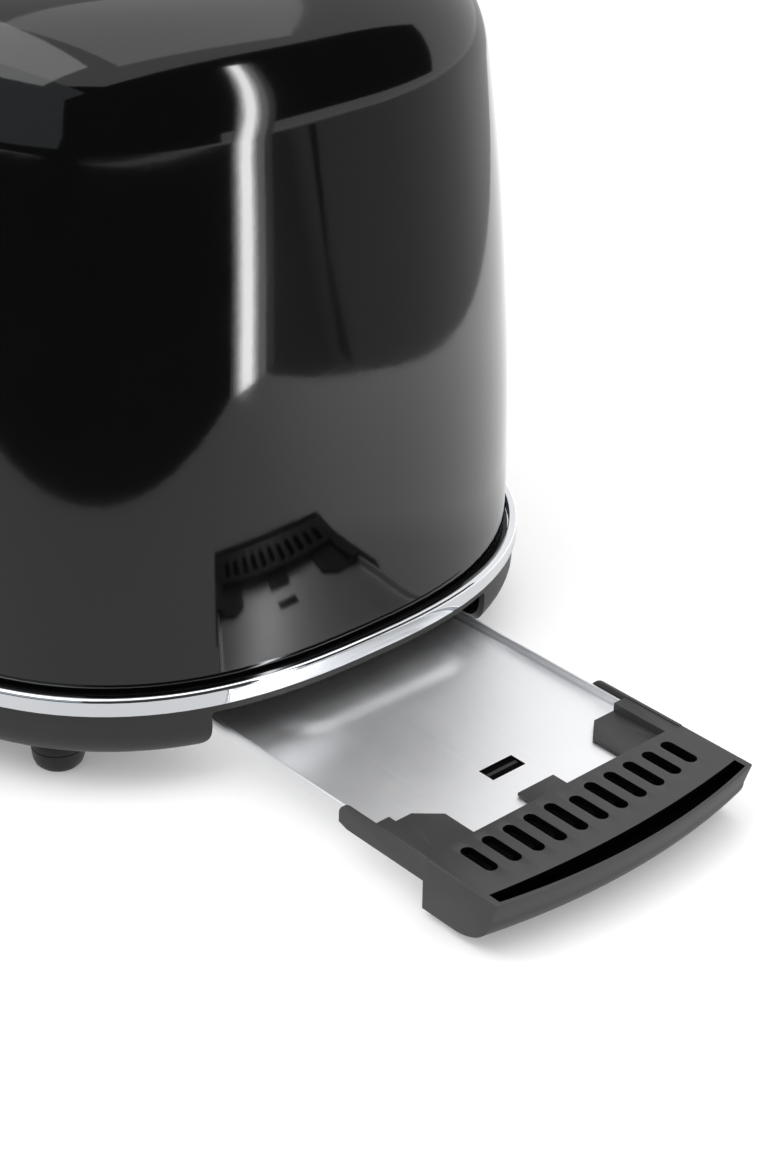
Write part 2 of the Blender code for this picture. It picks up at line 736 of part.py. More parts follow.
def slot_outline(reach):
    """A bread slot's outline, moved outwards by the reach."""
    length = SLOT_LENGTH + 2 * reach
    return rounded_rectangle(length, SLOT_WIDTH + 2 * reach, SLOT_CORNER_RADIUS + reach)


def control_outline(clearance):
    height = CONTROL_TOP_Z - CONTROL_BOTTOM_Z
    return rounded_rectangle(
        CONTROL_WIDTH + 2 * clearance,
        height + 2 * clearance,
        CONTROL_CORNER_RADIUS + clearance,
    )


def make_top_panel():
    """Plate over the chassis, with a raised and turned-down rim round each bread slot."""
    middle_z = PANEL_BOTTOM_Z + PANEL_THICKNESS / 2
    plate = flat(
        "top_panel",
        [plan_outline(PANEL_INSET)],
        PANEL_THICKNESS,
        "XY",
        (0, 0, middle_z),
        CHROME,
    )
    panel = as_mesh(plate)
    rim_top = TOTAL_HEIGHT
    rim_bottom = PANEL_BOTTOM_Z - SLOT_RIM_DROP
    rim_middle = (rim_top + rim_bottom) / 2
    for side, y in (("left", SLOT_Y), ("right", -SLOT_Y)):
        rim_height = rim_top - rim_bottom
        place = (0, y, rim_middle)
        rim = flat("slot_rim_" + side, [slot_outline(SLOT_RIM_WIDTH)], rim_height, "XY", place)
        hole = flat("slot_hole_" + side, [slot_outline(0)], 2 * rim_height, "XY", place)
        join(panel, as_mesh(rim))
        cut(panel, as_mesh(hole))
    smooth(panel)


def make_bottom_plate():
    """Sheet plate that closes the base behind the tray's opening."""
    outline = plan_outline(PLATE_INSET)
    holes = [circle(x, y, SCREW_RADIUS + GAP) for _, x, y in chassis_screws() + base_screws()]
    middle_z = BOTTOM_PLATE_Z + BOTTOM_PLATE_THICKNESS / 2
    blank = flat(
        "bottom_plate",
        [outline] + holes,
        BOTTOM_PLATE_THICKNESS,
        "XY",
        (0, 0, middle_z),
        STEEL,
    )
    plate = as_mesh(blank)
    half = TRAY_OPENING_WIDTH / 2
    notch = box(
        "bottom_plate_notch",
        (TRAY_NOTCH_BACK_X, -half, 0),
        (HALF_LENGTH, half, CHASSIS_BOTTOM_Z + BOTTOM_PLATE_THICKNESS),
    )
    cut(plate, notch)


def feet():
    """Each foot's name and place: a point on the outline moved inwards by the feet's inset."""
    reach = (END_CAP_LENGTH - FOOT_INSET) * cos(FOOT_PLACE) ** (2 / LONG_EXPONENT)
    x = HALF_LENGTH - END_CAP_LENGTH + reach
    y = (HALF_WIDTH - FOOT_INSET) * sin(FOOT_PLACE) ** (2 / CROSS_EXPONENT)
    return [
        ("foot_front_left", x, y),
        ("foot_front_right", x, -y),
        ("foot_rear_left", -x, y),
        ("foot_rear_right", -x, -y),
    ]


def make_feet():
    """Push-in feet: a rounded pad, a neck through the flange and a bulb that holds it."""
    pad_top = BASE_BOTTOM_Z - GAP
    bulb_z = SKIRT_FLANGE_TOP_Z + GAP
    sole = FOOT_RADIUS * 0.72
    profile = [
        (0, bulb_z + FOOT_BULB_HEIGHT),
        (FOOT_BULB_RADIUS * 0.6, bulb_z + FOOT_BULB_HEIGHT),
        (FOOT_BULB_RADIUS, bulb_z + 0.0012),
        (FOOT_BULB_RADIUS, bulb_z),
        (FOOT_NECK_RADIUS, bulb_z),
        (FOOT_NECK_RADIUS, pad_top),
        (FOOT_RADIUS * 0.96, pad_top),
        (FOOT_RADIUS, pad_top - 0.0008),
        (FOOT_RADIUS * 0.97, 0.0032),
        (FOOT_RADIUS * 0.88, 0.0011),
        (sole, 0),
        (0, 0),
    ]
    for name, x, y in feet():
        smooth(turned(name, profile, RUBBER, (x, y, 0), steps=14))


def make_cord_gland():
    """Two-flanged bush that lines the cord's way out through the skirt."""
    face = -HALF_LENGTH + SKIRT_INSET - GAP
    inside = face + GLAND_NECK_LENGTH
    profile = [
        (GLAND_BORE_RADIUS, GLAND_FLANGE_DEPTH - face),
        (GLAND_FLANGE_RADIUS - 0.0008, GLAND_FLANGE_DEPTH - face),
        (GLAND_FLANGE_RADIUS, GLAND_FLANGE_DEPTH - face - 0.0010),
        (GLAND_FLANGE_RADIUS, -face),
        (GLAND_NECK_RADIUS, -face),
        (GLAND_NECK_RADIUS, -inside),
        (GLAND_FLANGE_RADIUS - 0.0006, -inside),
        (GLAND_FLANGE_RADIUS - 0.0006, -inside - 0.0020),
        (GLAND_BORE_RADIUS, -inside - 0.0020),
    ]
    smooth(turned("cord_gland", profile, RUBBER, (0, 0, GLAND_Z), along_x=True, steps=16))


# ---------------------------------------------------------------- chassis
def chassis_screws():
    return [
        ("chassis_screw_1", CHASSIS_SCREW_X, CHASSIS_SCREW_Y),
        ("chassis_screw_2", CHASSIS_SCREW_X, -CHASSIS_SCREW_Y),
        ("chassis_screw_3", -CHASSIS_SCREW_X, CHASSIS_SCREW_Y),
        ("chassis_screw_4", -CHASSIS_SCREW_X, -CHASSIS_SCREW_Y),
    ]


def base_screws():
    return [
        ("base_screw_1", BASE_SCREW_X, BASE_SCREW_Y),
        ("base_screw_2", BASE_SCREW_X, -BASE_SCREW_Y),
        ("base_screw_3", -BASE_SCREW_X, BASE_SCREW_Y),
        ("base_screw_4", -BASE_SCREW_X, -BASE_SCREW_Y),
    ]


def make_screws():
    """Pan-head screws, driven up from below."""
    for screws, seat in ((chassis_screws(), BOTTOM_PLATE_Z), (base_screws(), BASE_BOTTOM_Z)):
        under = seat - GAP
        profile = [
            (0, under + SCREW_LENGTH),
            (SCREW_RADIUS * 0.5, under + SCREW_LENGTH),
            (SCREW_RADIUS, under + SCREW_LENGTH - SCREW_RADIUS),
            (SCREW_RADIUS, under),
            (SCREW_HEAD_RADIUS, under),
            (SCREW_HEAD_RADIUS, under - SCREW_HEAD_HEIGHT * 0.5),
            (SCREW_HEAD_RADIUS * 0.6, under - SCREW_HEAD_HEIGHT),
            (0, under - SCREW_HEAD_HEIGHT),
        ]
        for name, x, y in screws:
            smooth(turned(name, profile, STEEL, (x, y, 0), steps=8))


def chassis_outline():
    """End plate seen along X: two legs stand either side of the tray's passage."""
    half = CHASSIS_WIDTH / 2
    passage = TRAY_PASSAGE_WIDTH / 2
    corner = CHASSIS_CORNER
    return [
        (passage, CHASSIS_BOTTOM_Z),
        (half, CHASSIS_BOTTOM_Z),
        (half, CHASSIS_TOP_Z - corner),
        (half - corner, CHASSIS_TOP_Z),
        (corner - half, CHASSIS_TOP_Z),
        (-half, CHASSIS_TOP_Z - corner),
        (-half, CHASSIS_BOTTOM_Z),
        (-passage, CHASSIS_BOTTOM_Z),
        (-passage, TRAY_PASSAGE_TOP_Z),
        (passage, TRAY_PASSAGE_TOP_Z),
    ]


def make_chassis_plate(name, end):
    """Sheet end plate with rack slots, pivot holes for the guides and a foot each side."""
    holes = [circle(y, GUIDE_HINGE_Z, GUIDE_PIN_RADIUS + GAP) for y in GUIDE_YS.values()]
    low = RACK_Z - LEVER_TRAVEL - RACK_THICKNESS / 2 - RUNNING_GAP
    high = RACK_Z + RACK_THICKNESS / 2 + RUNNING_GAP
    reach = RACK_SPINE_WIDTH / 2 + RUNNING_GAP
    for y in (SLOT_Y, -SLOT_Y):
        holes.append(rectangle(y - reach, low, y + reach, high))
    x = end * CHASSIS_HALF_LENGTH
    plate = as_mesh(flat(name, [chassis_outline()] + holes, SHEET_THICKNESS, "YZ", (x, 0, 0), STEEL))
    passage = TRAY_PASSAGE_WIDTH / 2
    near = x - end * SHEET_THICKNESS / 4
    far = x + end * CHASSIS_FOOT_LENGTH
    for side in (1, -1):
        ys = sorted((side * passage, side * CHASSIS_WIDTH / 2))
        foot = box(
            f"{name}_foot_{'left' if side > 0 else 'right'}",
            (min(near, far), ys[0], CHASSIS_BOTTOM_Z),
            (max(near, far), ys[1], CHASSIS_BOTTOM_Z + SHEET_THICKNESS),
        )
        join(plate, foot)
        place = (end * CHASSIS_SCREW_X, side * CHASSIS_SCREW_Y)
        cut(plate, flange_hole(foot.name + "_hole", *place, SCREW_RADIUS + GAP))
    return plate


def make_chassis():
    make_chassis_plate("chassis_plate_front", 1)
    rear = make_chassis_plate("chassis_plate_rear", -1)
    hanger = box(
        "spring_hanger",
        (SLIDE_X - SPRING_RADIUS * 2, SPRING_Y - SPRING_RADIUS, SPRING_TOP_Z + GAP),
        (-CHASSIS_HALF_LENGTH, SPRING_Y + SPRING_RADIUS, SPRING_TOP_Z + GAP + SHEET_THICKNESS),
    )
    join(rear, hanger)
    length = 2 * CHASSIS_HALF_LENGTH - SHEET_THICKNESS - 4 * GAP
    middle_z = (REFLECTOR_BOTTOM_Z + REFLECTOR_TOP_Z) / 2
    sheet = rectangle(
        -length / 2,
        (REFLECTOR_BOTTOM_Z - REFLECTOR_TOP_Z) / 2,
        length / 2,
        (REFLECTOR_TOP_Z - REFLECTOR_BOTTOM_Z) / 2,
    )
    for side, y in (("left", REFLECTOR_SPACING / 2), ("right", -REFLECTOR_SPACING / 2)):
        flat("reflector_" + side, [sheet], SHEET_THICKNESS, "XZ", (0, y, middle_z), STEEL)
    rail_y = HANDLE_WIDTH / 2 + RUNNING_GAP
    for side, sign in (("left", 1), ("right", -1)):
        ys = sorted((sign * rail_y, sign * (rail_y + RAIL_THICKNESS)))
        box(
            "tray_rail_" + side,
            (-CHASSIS_HALF_LENGTH - RAIL_OVERHANG, ys[0], CHASSIS_BOTTOM_Z),
            (TRAY_NOTCH_BACK_X - RAIL_SETBACK, ys[1], CHASSIS_BOTTOM_Z + RAIL_HEIGHT),
            STEEL,
        )
    cylinder(
        "guide_rod",
        GUIDE_ROD_RADIUS,
        CHASSIS_BOTTOM_Z,
        GUIDE_ROD_TOP_Z,
        (SLIDE_X, GUIDE_ROD_Y),
        STEEL,
        steps=16,
    )


# ---------------------------------------------------------------- heating elements
def board_outline():
    """Mica board with a row of notches along each edge, one for each bend of its wire."""
    half_length = CHASSIS_HALF_LENGTH - SHEET_THICKNESS / 2 - 2 * GAP
    half_height = (BOARD_TOP_Z - BOARD_BOTTOM_Z) / 2
    pitch = WINDING_SPAN / (WINDING_RUNS - 1)
    notch = BOARD_NOTCH
    bottom = []
    for i in range(0, WINDING_RUNS - 1, 2):
        x = -WINDING_SPAN / 2 + pitch * (i + 0.5)
        bottom += [
            (x - notch, -half_height),
            (x - notch, notch - half_height),
            (x + notch, notch - half_height),
            (x + notch, -half_height),
        ]
    top = [(-x, -y) for x, y in bottom]
    outline = [(-half_length, -half_height)] + bottom + [(half_length, -half_height)]
    return outline + [(half_length, half_height)] + top + [(-half_length, half_height)]


def winding_points(y):
    """The resistance wire's zigzag across one face of a board."""
    pitch = WINDING_SPAN / (WINDING_RUNS - 1)
    points = []
    for run in range(WINDING_RUNS):
        x = -WINDING_SPAN / 2 + pitch * run
        ends = [WINDING_BOTTOM_Z, WINDING_TOP_Z]
        if run % 2:
            ends.reverse()
        points += [(x, y, ends[0]), (x, y, ends[1])]
    return points


def make_elements():
    middle_z = (BOARD_TOP_Z + BOARD_BOTTOM_Z) / 2
    outer = OUTER_BOARD_SPACING / 2
    for name, y in (("left", outer), ("centre", 0), ("right", -outer)):
        place = (0, y, middle_z)
        flat("element_board_" + name, [board_outline()], BOARD_THICKNESS, "XZ", place, MICA)
    offset = BOARD_THICKNESS / 2 + WINDING_WIRE / 2 + GAP
    windings = {
        "left_outer": outer - offset,
        "left_inner": offset,
        "right_inner": -offset,
        "right_outer": offset - outer,
    }
    for name, y in windings.items():
        wire("winding_" + name, winding_points(y), WINDING_WIRE / 2, NICHROME)


def make_bread_guide(name, y):
    """Grid of upright bars, hinged on a pin at its foot. Its origin is on the hinge."""
    hinge = empty_at("guide_hinge_" + name, (0, y, GUIDE_HINGE_Z), body)
    height = GUIDE_TOP_Z - GUIDE_HINGE_Z
    half = GUIDE_LENGTH / 2
    pitch = (GUIDE_LENGTH - GUIDE_BAR) / (GUIDE_BARS - 1)
    holes = []
    for i in range(GUIDE_BARS - 1):
        low = -half + GUIDE_BAR + pitch * i
        holes.append(rectangle(low, GUIDE_BAR, low + pitch - GUIDE_BAR, height - GUIDE_BAR))
    outline = rectangle(-half, 0, half, height)
    grid = flat("bread_guide_" + name, [outline] + holes, GUIDE_BAR, "XZ", (0, 0, 0), WIRE, hinge)
    guide = as_mesh(grid)
    reach = CHASSIS_HALF_LENGTH + GUIDE_PIN_REACH
    pin = cylinder_x(
        "guide_pin_" + name,
        GUIDE_PIN_RADIUS,
        -reach,
        reach,
        (0, 0),
        parent=hinge,
        steps=SMALL_ROUND,
    )
    join(guide, pin)


# ---------------------------------------------------------------- carriage and lever
def rack_outline():
    """Bread rack in plan: a long spine with short tines across it."""
    half_spine = RACK_SPINE_WIDTH / 2
    half_tine = RACK_TINE_LENGTH / 2
    rear = BRACKET_X + GAP
    front = CHASSIS_HALF_LENGTH + RACK_FRONT_REACH
    side = [(rear, -half_spine)]
    for i in range(RACK_TINES):
        x = RACK_TINE_SPAN * (i / (RACK_TINES - 1) - 0.5)
        left = x - RACK_TINE_WIDTH / 2
        right = x + RACK_TINE_WIDTH / 2
        side += [(left, -half_spine), (left, -half_tine), (right, -half_tine), (right, -half_spine)]
    side.append((front, -half_spine))
    return side + [(x, -y) for x, y in reversed(side)]


def make_carriage(carriage):
    """Everything that the lever carries: bracket, racks, armature, lever arm and knob."""
    for side, y in (("left", SLOT_Y), ("right", -SLOT_Y)):
        flat(
            "bread_rack_" + side,
            [rack_outline()],
            RACK_THICKNESS,
            "XY",
            (0, y, RACK_Z),
            WIRE,
            carriage,
        )
    half = BRACKET_WIDTH / 2
    bracket = box(
        "carriage_bracket",
        (BRACKET_X - BRACKET_THICKNESS, -half, BRACKET_BOTTOM_Z),
        (BRACKET_X, half, BRACKET_TOP_Z),
        STEEL,
        carriage,
    )
    block = box(
        "slide_block",
        (SLIDE_X - SLIDE_BLOCK_SIDE / 2, GUIDE_ROD_Y - SLIDE_BLOCK_SIDE / 2, BRACKET_BOTTOM_Z),
        (SLIDE_X + SLIDE_BLOCK_SIDE / 2, GUIDE_ROD_Y + SLIDE_BLOCK_SIDE / 2, BRACKET_TOP_Z),
        parent=carriage,
    )
    spring_tab = box(
        "spring_tab",
        (SLIDE_X - SPRING_RADIUS * 2, SPRING_Y - SPRING_RADIUS, SPRING_BOTTOM_Z - GAP - SPRING_TAB_THICKNESS),
        (BRACKET_X - BRACKET_THICKNESS / 2, SPRING_Y + SPRING_RADIUS, SPRING_BOTTOM_Z - GAP),
        parent=carriage,
    )
    bush = cylinder(
        "slide_bush",
        GUIDE_ROD_RADIUS + GAP,
        BRACKET_BOTTOM_Z - 0.01,
        BRACKET_TOP_Z + 0.01,
        (SLIDE_X, GUIDE_ROD_Y),
        parent=carriage,
        steps=16,
    )
    join(bracket, block)
    join(bracket, spring_tab)
    cut(bracket, bush)
    side = ARMATURE_SIDE / 2
    armature_top = BRACKET_BOTTOM_Z - GAP
    box(
        "armature_plate",
        (SLIDE_X - side, -side, armature_top - ARMATURE_THICKNESS),
        (SLIDE_X + side, side, armature_top),
        STEEL,
        carriage,
    )
    arm_rear = BRACKET_X - BRACKET_THICKNESS - GAP
    arm_front = LEVER_KNOB_FACE_X + GAP
    box(
        "lever_arm",
        (arm_front, -LEVER_ARM_WIDTH / 2, LEVER_Z - LEVER_ARM_HEIGHT / 2),
        (arm_rear, LEVER_ARM_WIDTH / 2, LEVER_Z + LEVER_ARM_HEIGHT / 2),
        STEEL,
        carriage,
    )
    box(
        "lever_knob",
        (LEVER_REACH_X, -LEVER_KNOB_WIDTH / 2, LEVER_Z - LEVER_KNOB_HEIGHT / 2),
        (LEVER_KNOB_FACE_X, LEVER_KNOB_WIDTH / 2, LEVER_Z + LEVER_KNOB_HEIGHT / 2),
        CHROME,
        carriage,
        bevel=LEVER_KNOB_EDGE,
    )


def make_return_spring():
    """Tension coil from the rear plate's hanger down to the carriage."""
    per_turn = 8
    count = SPRING_TURNS * per_turn
    low = SPRING_BOTTOM_Z + SPRING_WIRE
    high = SPRING_TOP_Z - SPRING_WIRE
    points = []
    for i in range(count + 1):
        angle = 2 * pi * i / per_turn
        x = SLIDE_X + SPRING_RADIUS * cos(angle)
        y = SPRING_Y + SPRING_RADIUS * sin(angle)
        points.append((x, y, low + (high - low) * i / count))
    wire("return_spring", points, SPRING_WIRE / 2, STEEL)


def make_magnet():
    """Latch magnet: a core on a foot, with its coil, just below the lowered armature."""
    core_top = BRACKET_BOTTOM_Z - GAP - ARMATURE_THICKNESS - LEVER_TRAVEL - LATCH_GAP
    half = MAGNET_CORE_SIDE / 2
    foot = MAGNET_COIL_SIDE / 2
    core = box(
        "magnet_core",
        (SLIDE_X - half, -half, MAGNET_BASE_Z),
        (SLIDE_X + half, half, core_top),
        STEEL,
    )
    base = box(
        "magnet_foot",
        (SLIDE_X - foot, -foot, TRAY_PASSAGE_TOP_Z),
        (SLIDE_X + foot, foot, MAGNET_BASE_Z + MAGNET_FOOT_LAP),
    )
    join(core, base)
    low = MAGNET_BASE_Z + MAGNET_FOOT_LAP + GAP
    coil = box(
        "magnet_coil",
        (SLIDE_X - foot, -foot, low),
        (SLIDE_X + foot, foot, low + MAGNET_COIL_HEIGHT),
        COPPER,
    )
    clear = half + GAP
    hole = box(
        "coil_hole",
        (SLIDE_X - clear, -clear, low - 0.002),
        (SLIDE_X + clear, clear, low + MAGNET_COIL_HEIGHT + 0.002),
    )
    cut(coil, hole)


# ---------------------------------------------------------------- controls
def make_control_panel():
    """Panel that follows the shell's end face and fills its window."""
    columns = 8
    rows = 10
    width = CONTROL_WIDTH + 0.006
    low = CONTROL_BOTTOM_Z - 0.003
    high = CONTROL_TOP_Z + 0.003
    mesh_builder = bmesh.new()
    grid = []
    for row in range(rows + 1):
        z = low + (high - low) * row / rows
        line = []
        for column in range(columns + 1):
            y = width * (column / columns - 0.5)
            x = end_surface_x(y, z) - CONTROL_PROUD
            line.append(mesh_builder.verts.new((x, y, z)))
        grid.append(line)
    for row in range(rows):
        for column in range(columns):
            first = grid[row]
            second = grid[row + 1]
            corners = (first[column], second[column], second[column + 1], first[column + 1])
            mesh_builder.faces.new(corners)
    panel = put(object_of("control_panel", mesh_builder), PLASTIC, location=(0, 0, 0))
    thicken = panel.modifiers.new("thickness", "SOLIDIFY")
    thicken.thickness = CONTROL_THICKNESS
    thicken.offset = -1
    middle_z = (CONTROL_BOTTOM_Z + CONTROL_TOP_Z) / 2
    place = (-HALF_LENGTH, 0, middle_z)
    limit = as_mesh(flat("control_limit", [control_outline(0)], 0.08, "YZ", place))
    trim = panel.modifiers.new("trim", "BOOLEAN")
    trim.operation = "INTERSECT"
    trim.object = limit
    reach = LEVER_ARM_HEIGHT / 2 + LEVER_SLOT_MARGIN
    slot = box(
        "lever_slot",
        (-HALF_LENGTH - 0.02, -LEVER_SLOT_WIDTH / 2, LEVER_Z - LEVER_TRAVEL - reach),
        (-HALF_LENGTH + 0.03, LEVER_SLOT_WIDTH / 2, LEVER_Z + reach),
    )
    cut(panel, slot)
    holes = [("knob_hole", 0, KNOB_Z, DIAL_SHAFT_RADIUS)]
    holes += [(name + "_hole", y, BUTTON_Z, BUTTON_RADIUS) for name, y in buttons()]
    for name, y, z, radius in holes:
        near = -HALF_LENGTH - 0.02
        hole = cylinder_x(name, radius + RUNNING_GAP, near, near + 0.05, (y, z), steps=20)
        cut(panel, hole)
    smooth(panel)


def buttons():
    return [
        ("button_cancel", BUTTON_SPACING),
        ("button_reheat", 0),
        ("button_defrost", -BUTTON_SPACING),
    ]


def make_buttons():
    """Push buttons: a domed cap outside and a flange inside that stops it coming out."""
    for name, y in buttons():
        face = end_surface_x(y, BUTTON_Z) - CONTROL_PROUD
        pivot = empty_at(name + "_slide", (face, y, BUTTON_Z), body)
        inner = -CONTROL_THICKNESS - 2 * RUNNING_GAP
        top = BUTTON_STAND_PROUD
        stem_end = inner - BUTTON_FLANGE_DEPTH - BUTTON_STEM_DEPTH
        profile = [
            (0, top + 0.0006),
            (BUTTON_RADIUS * 0.7, top + 0.0003),
            (BUTTON_RADIUS, top - 0.0005),
            (BUTTON_RADIUS, inner),
            (BUTTON_FLANGE_RADIUS, inner),
            (BUTTON_FLANGE_RADIUS, inner - BUTTON_FLANGE_DEPTH),
            (BUTTON_RADIUS * 0.4, inner - BUTTON_FLANGE_DEPTH),
            (BUTTON_RADIUS * 0.4, stem_end),
            (0, stem_end),
        ]
        smooth(turned(name, profile, CHROME, (0, 0, 0), pivot, along_x=True, steps=16))


def make_browning_knob():
    """Turned knob on its shaft. Their parent empty is on the axis they turn about."""
    axis = empty_at("browning_axis", (KNOB_PANEL_X, 0, KNOB_Z), body)
    low = KNOB_STANDOFF
    high = KNOB_STANDOFF + KNOB_DEPTH
    bore = DIAL_SHAFT_RADIUS + GAP
    profile = [
        (0, high),
        (KNOB_RADIUS * 0.78, high),
        (KNOB_RADIUS * 0.86, high - 0.0012),
        (KNOB_RADIUS * 0.90, low + KNOB_SKIRT_HEIGHT + 0.0010),
        (KNOB_RADIUS, low + KNOB_SKIRT_HEIGHT),
        (KNOB_RADIUS, low),
        (bore, low),
        (bore, low + KNOB_SOCKET_DEPTH),
        (0, low + KNOB_SOCKET_DEPTH),
    ]
    knob = turned("browning_knob", profile, PLASTIC, (0, 0, 0), axis, along_x=True, steps=24)
    smooth(knob)
    shaft_end = PCB_X - GAP - KNOB_PANEL_X
    tip = -(low + KNOB_SOCKET_DEPTH - GAP)
    shaft = cylinder_x(
        "dial_shaft",
        DIAL_SHAFT_RADIUS,
        tip,
        shaft_end,
        (0, 0),
        STEEL,
        axis,
        steps=16,
    )
    smooth(shaft)


def make_circuit_board():
    """Upright board behind the controls, with its switches, potentiometer and terminals."""
    half = PCB_WIDTH / 2
    box(
        "circuit_board",
        (PCB_X, -half, PCB_BOTTOM_Z),
        (PCB_X + PCB_THICKNESS, half, PCB_TOP_Z),
        BOARD_GREEN,
    )
    half = SWITCH_SIDE / 2
    for name, y in buttons():
        box(
            name.replace("button", "switch"),
            (PCB_X - GAP - SWITCH_DEPTH, y - half, BUTTON_Z - half),
            (PCB_X - GAP, y + half, BUTTON_Z + half),
            DARK_PLASTIC,
        )
    rear = -PCB_X + GAP
    bore = DIAL_SHAFT_RADIUS + GAP
    profile = [
        (bore, rear + POT_DEPTH),
        (POT_RADIUS, rear + POT_DEPTH),
        (POT_RADIUS, rear),
        (bore, rear),
    ]
    place = (0, 0, KNOB_Z)
    smooth(turned("potentiometer", profile, STEEL, place, along_x=True, steps=16))
    length, width, height = TERMINAL_SIZE
    x = PCB_X + TERMINAL_OFFSET_X
    y = TERMINAL_Y
    box(
        "terminal_block",
        (x - length / 2, y - width / 2, CHASSIS_BOTTOM_Z),
        (x + length / 2, y + width / 2, CHASSIS_BOTTOM_Z + height),
        DARK_PLASTIC,
    )


# ---------------------------------------------------------------- crumb tray
def make_tray_pan(tray):
    """Pan with folded walls at its sides and back, open towards the handle."""
    front = -HANDLE_DEPTH - GAP
    back = front - PAN_LENGTH
    half = PAN_WIDTH / 2
    top = PAN_BOTTOM_Z + PAN_HEIGHT
    pan = box("crumb_tray_pan", (back, -half, PAN_BOTTOM_Z), (front, half, top), BRUSHED, tray)
    hollow = box(
        "pan_hollow",
        (back + PAN_RIM, PAN_RIM - half, PAN_FLOOR_TOP_Z),
        (front + 0.01, half - PAN_RIM, top + 0.01),
        parent=tray,
    )
    window = box(
        "pan_window",
        (-PAN_WINDOW_FRONT - PAN_WINDOW_LENGTH, -PAN_WINDOW_WIDTH / 2, 0),
        (-PAN_WINDOW_FRONT, PAN_WINDOW_WIDTH / 2, 0.03),
        parent=tray,
    )
    length = -PAN_PRESSING_FRONT - (back + PAN_PRESSING_BACK_MARGIN)
    outline = rounded_rectangle(length, PAN_PRESSING_WIDTH, PAN_PRESSING_RADIUS)
    bottom = PAN_BOTTOM_Z + PAN_FLOOR / 2
    height = PAN_FLOOR / 2 + PAN_PRESSING_HEIGHT
    place = (-PAN_PRESSING_FRONT - length / 2, 0, bottom + height / 2)
    pressing = as_mesh(flat("pan_pressing", [outline], height, "XY", place, parent=tray))
    cut(pan, hollow)
    cut(pan, window)
    join(pan, pressing)


def front_arc(y):
    """How far the handle's front edge falls back from its middle at y."""
    return HANDLE_FRONT_RADIUS - sqrt(HANDLE_FRONT_RADIUS**2 - y * y)


def handle_profile():
    """The handle's front seen from the side: (setback, z) from the top edge down."""
    points = [(0, HANDLE_TOP_Z), (HANDLE_LIP_SETBACK, HANDLE_LIP_Z)]
    reach = HANDLE_NOSE_DEPTH - HANDLE_LIP_SETBACK
    drop = HANDLE_LIP_Z - HANDLE_BOTTOM_Z
    for i in range(1, 7):
        angle = pi / 2 * i / 6
        points.append((HANDLE_NOSE_DEPTH - reach * cos(angle), HANDLE_LIP_Z - drop * sin(angle)))
    return points


def lofted(name, sections, material=None, parent=None):
    """A solid through closed sections that all have the same number of points."""
    mesh_builder = bmesh.new()
    loops = [[mesh_builder.verts.new(point) for point in section] for section in sections]
    for first, second in zip(loops, loops[1:]):
        for i in range(len(first)):
            j = (i + 1) % len(first)
            mesh_builder.faces.new((first[i], first[j], second[j], second[i]))
    mesh_builder.faces.new(loops[0])
    mesh_builder.faces.new(loops[-1])
    bmesh.ops.recalc_face_normals(mesh_builder, faces=mesh_builder.faces)
    return put(object_of(name, mesh_builder), material, parent, (0, 0, 0))


def handle_body(tray):
    """The handle's block: its side profile carried along the front arc."""
    stations = 12
    sections = []
    for i in range(stations + 1):
        y = HANDLE_WIDTH * (i / stations - 0.5)
        section = [(-front_arc(y) - back, y, z) for back, z in handle_profile()]
        section += [(-HANDLE_DEPTH, y, HANDLE_BOTTOM_Z), (-HANDLE_DEPTH, y, HANDLE_TOP_Z)]
        sections.append(section)
    return lofted("crumb_tray_handle", sections, PLASTIC, tray)


def groove_cutter(tray):
    """Crescent finger groove: it leans back with the handle's front as it goes down."""
    stations = 14
    over = CUT_OVERLAP
    sections = []
    for i in range(stations + 1):
        y = GROOVE_HALF_WIDTH * (2 * i / stations - 1)
        front = -GROOVE_LIP - y * y / (2 * GROOVE_FRONT_RADIUS)
        back = -GROOVE_BACK - y * y / (2 * GROOVE_BACK_RADIUS)
        lean = GROOVE_LEAN / GROOVE_DEPTH * over
        sections.append(
            [
                (front + lean, y, HANDLE_TOP_Z + over),
                (front - GROOVE_LEAN, y, HANDLE_TOP_Z - GROOVE_DEPTH),
                (back - GROOVE_LEAN, y, HANDLE_TOP_Z - GROOVE_DEPTH),
                (back + lean, y, HANDLE_TOP_Z + over),
            ]
        )
    return lofted("finger_groove", sections, parent=tray)


def vent_cutters(tray):
    """Round-ended vents through the roof, their front ends following the handle's front."""
    cutters_made = []
    radius = VENT_WIDTH / 2
    for i in range(VENT_COUNT):
        y = VENT_PITCH * (i - (VENT_COUNT - 1) / 2)
        middle = i == (VENT_COUNT - 1) / 2
        back = -(VENT_MIDDLE_BACK if middle else VENT_BACK)
        front = -VENT_FRONT - y * y / (2 * VENT_FRONT_RADIUS)
        outline = arc_points((front, y), radius, -pi / 2, pi / 2, 4)
        outline += arc_points((back, y), radius, pi / 2, 1.5 * pi, 4)
        place = (0, 0, HANDLE_TOP_Z)
        vent = flat(f"vent_{i + 1}", [outline], 2.5 * HANDLE_ROOF, "XY", place, parent=tray)
        cutters_made.append(as_mesh(vent))
    return cutters_made


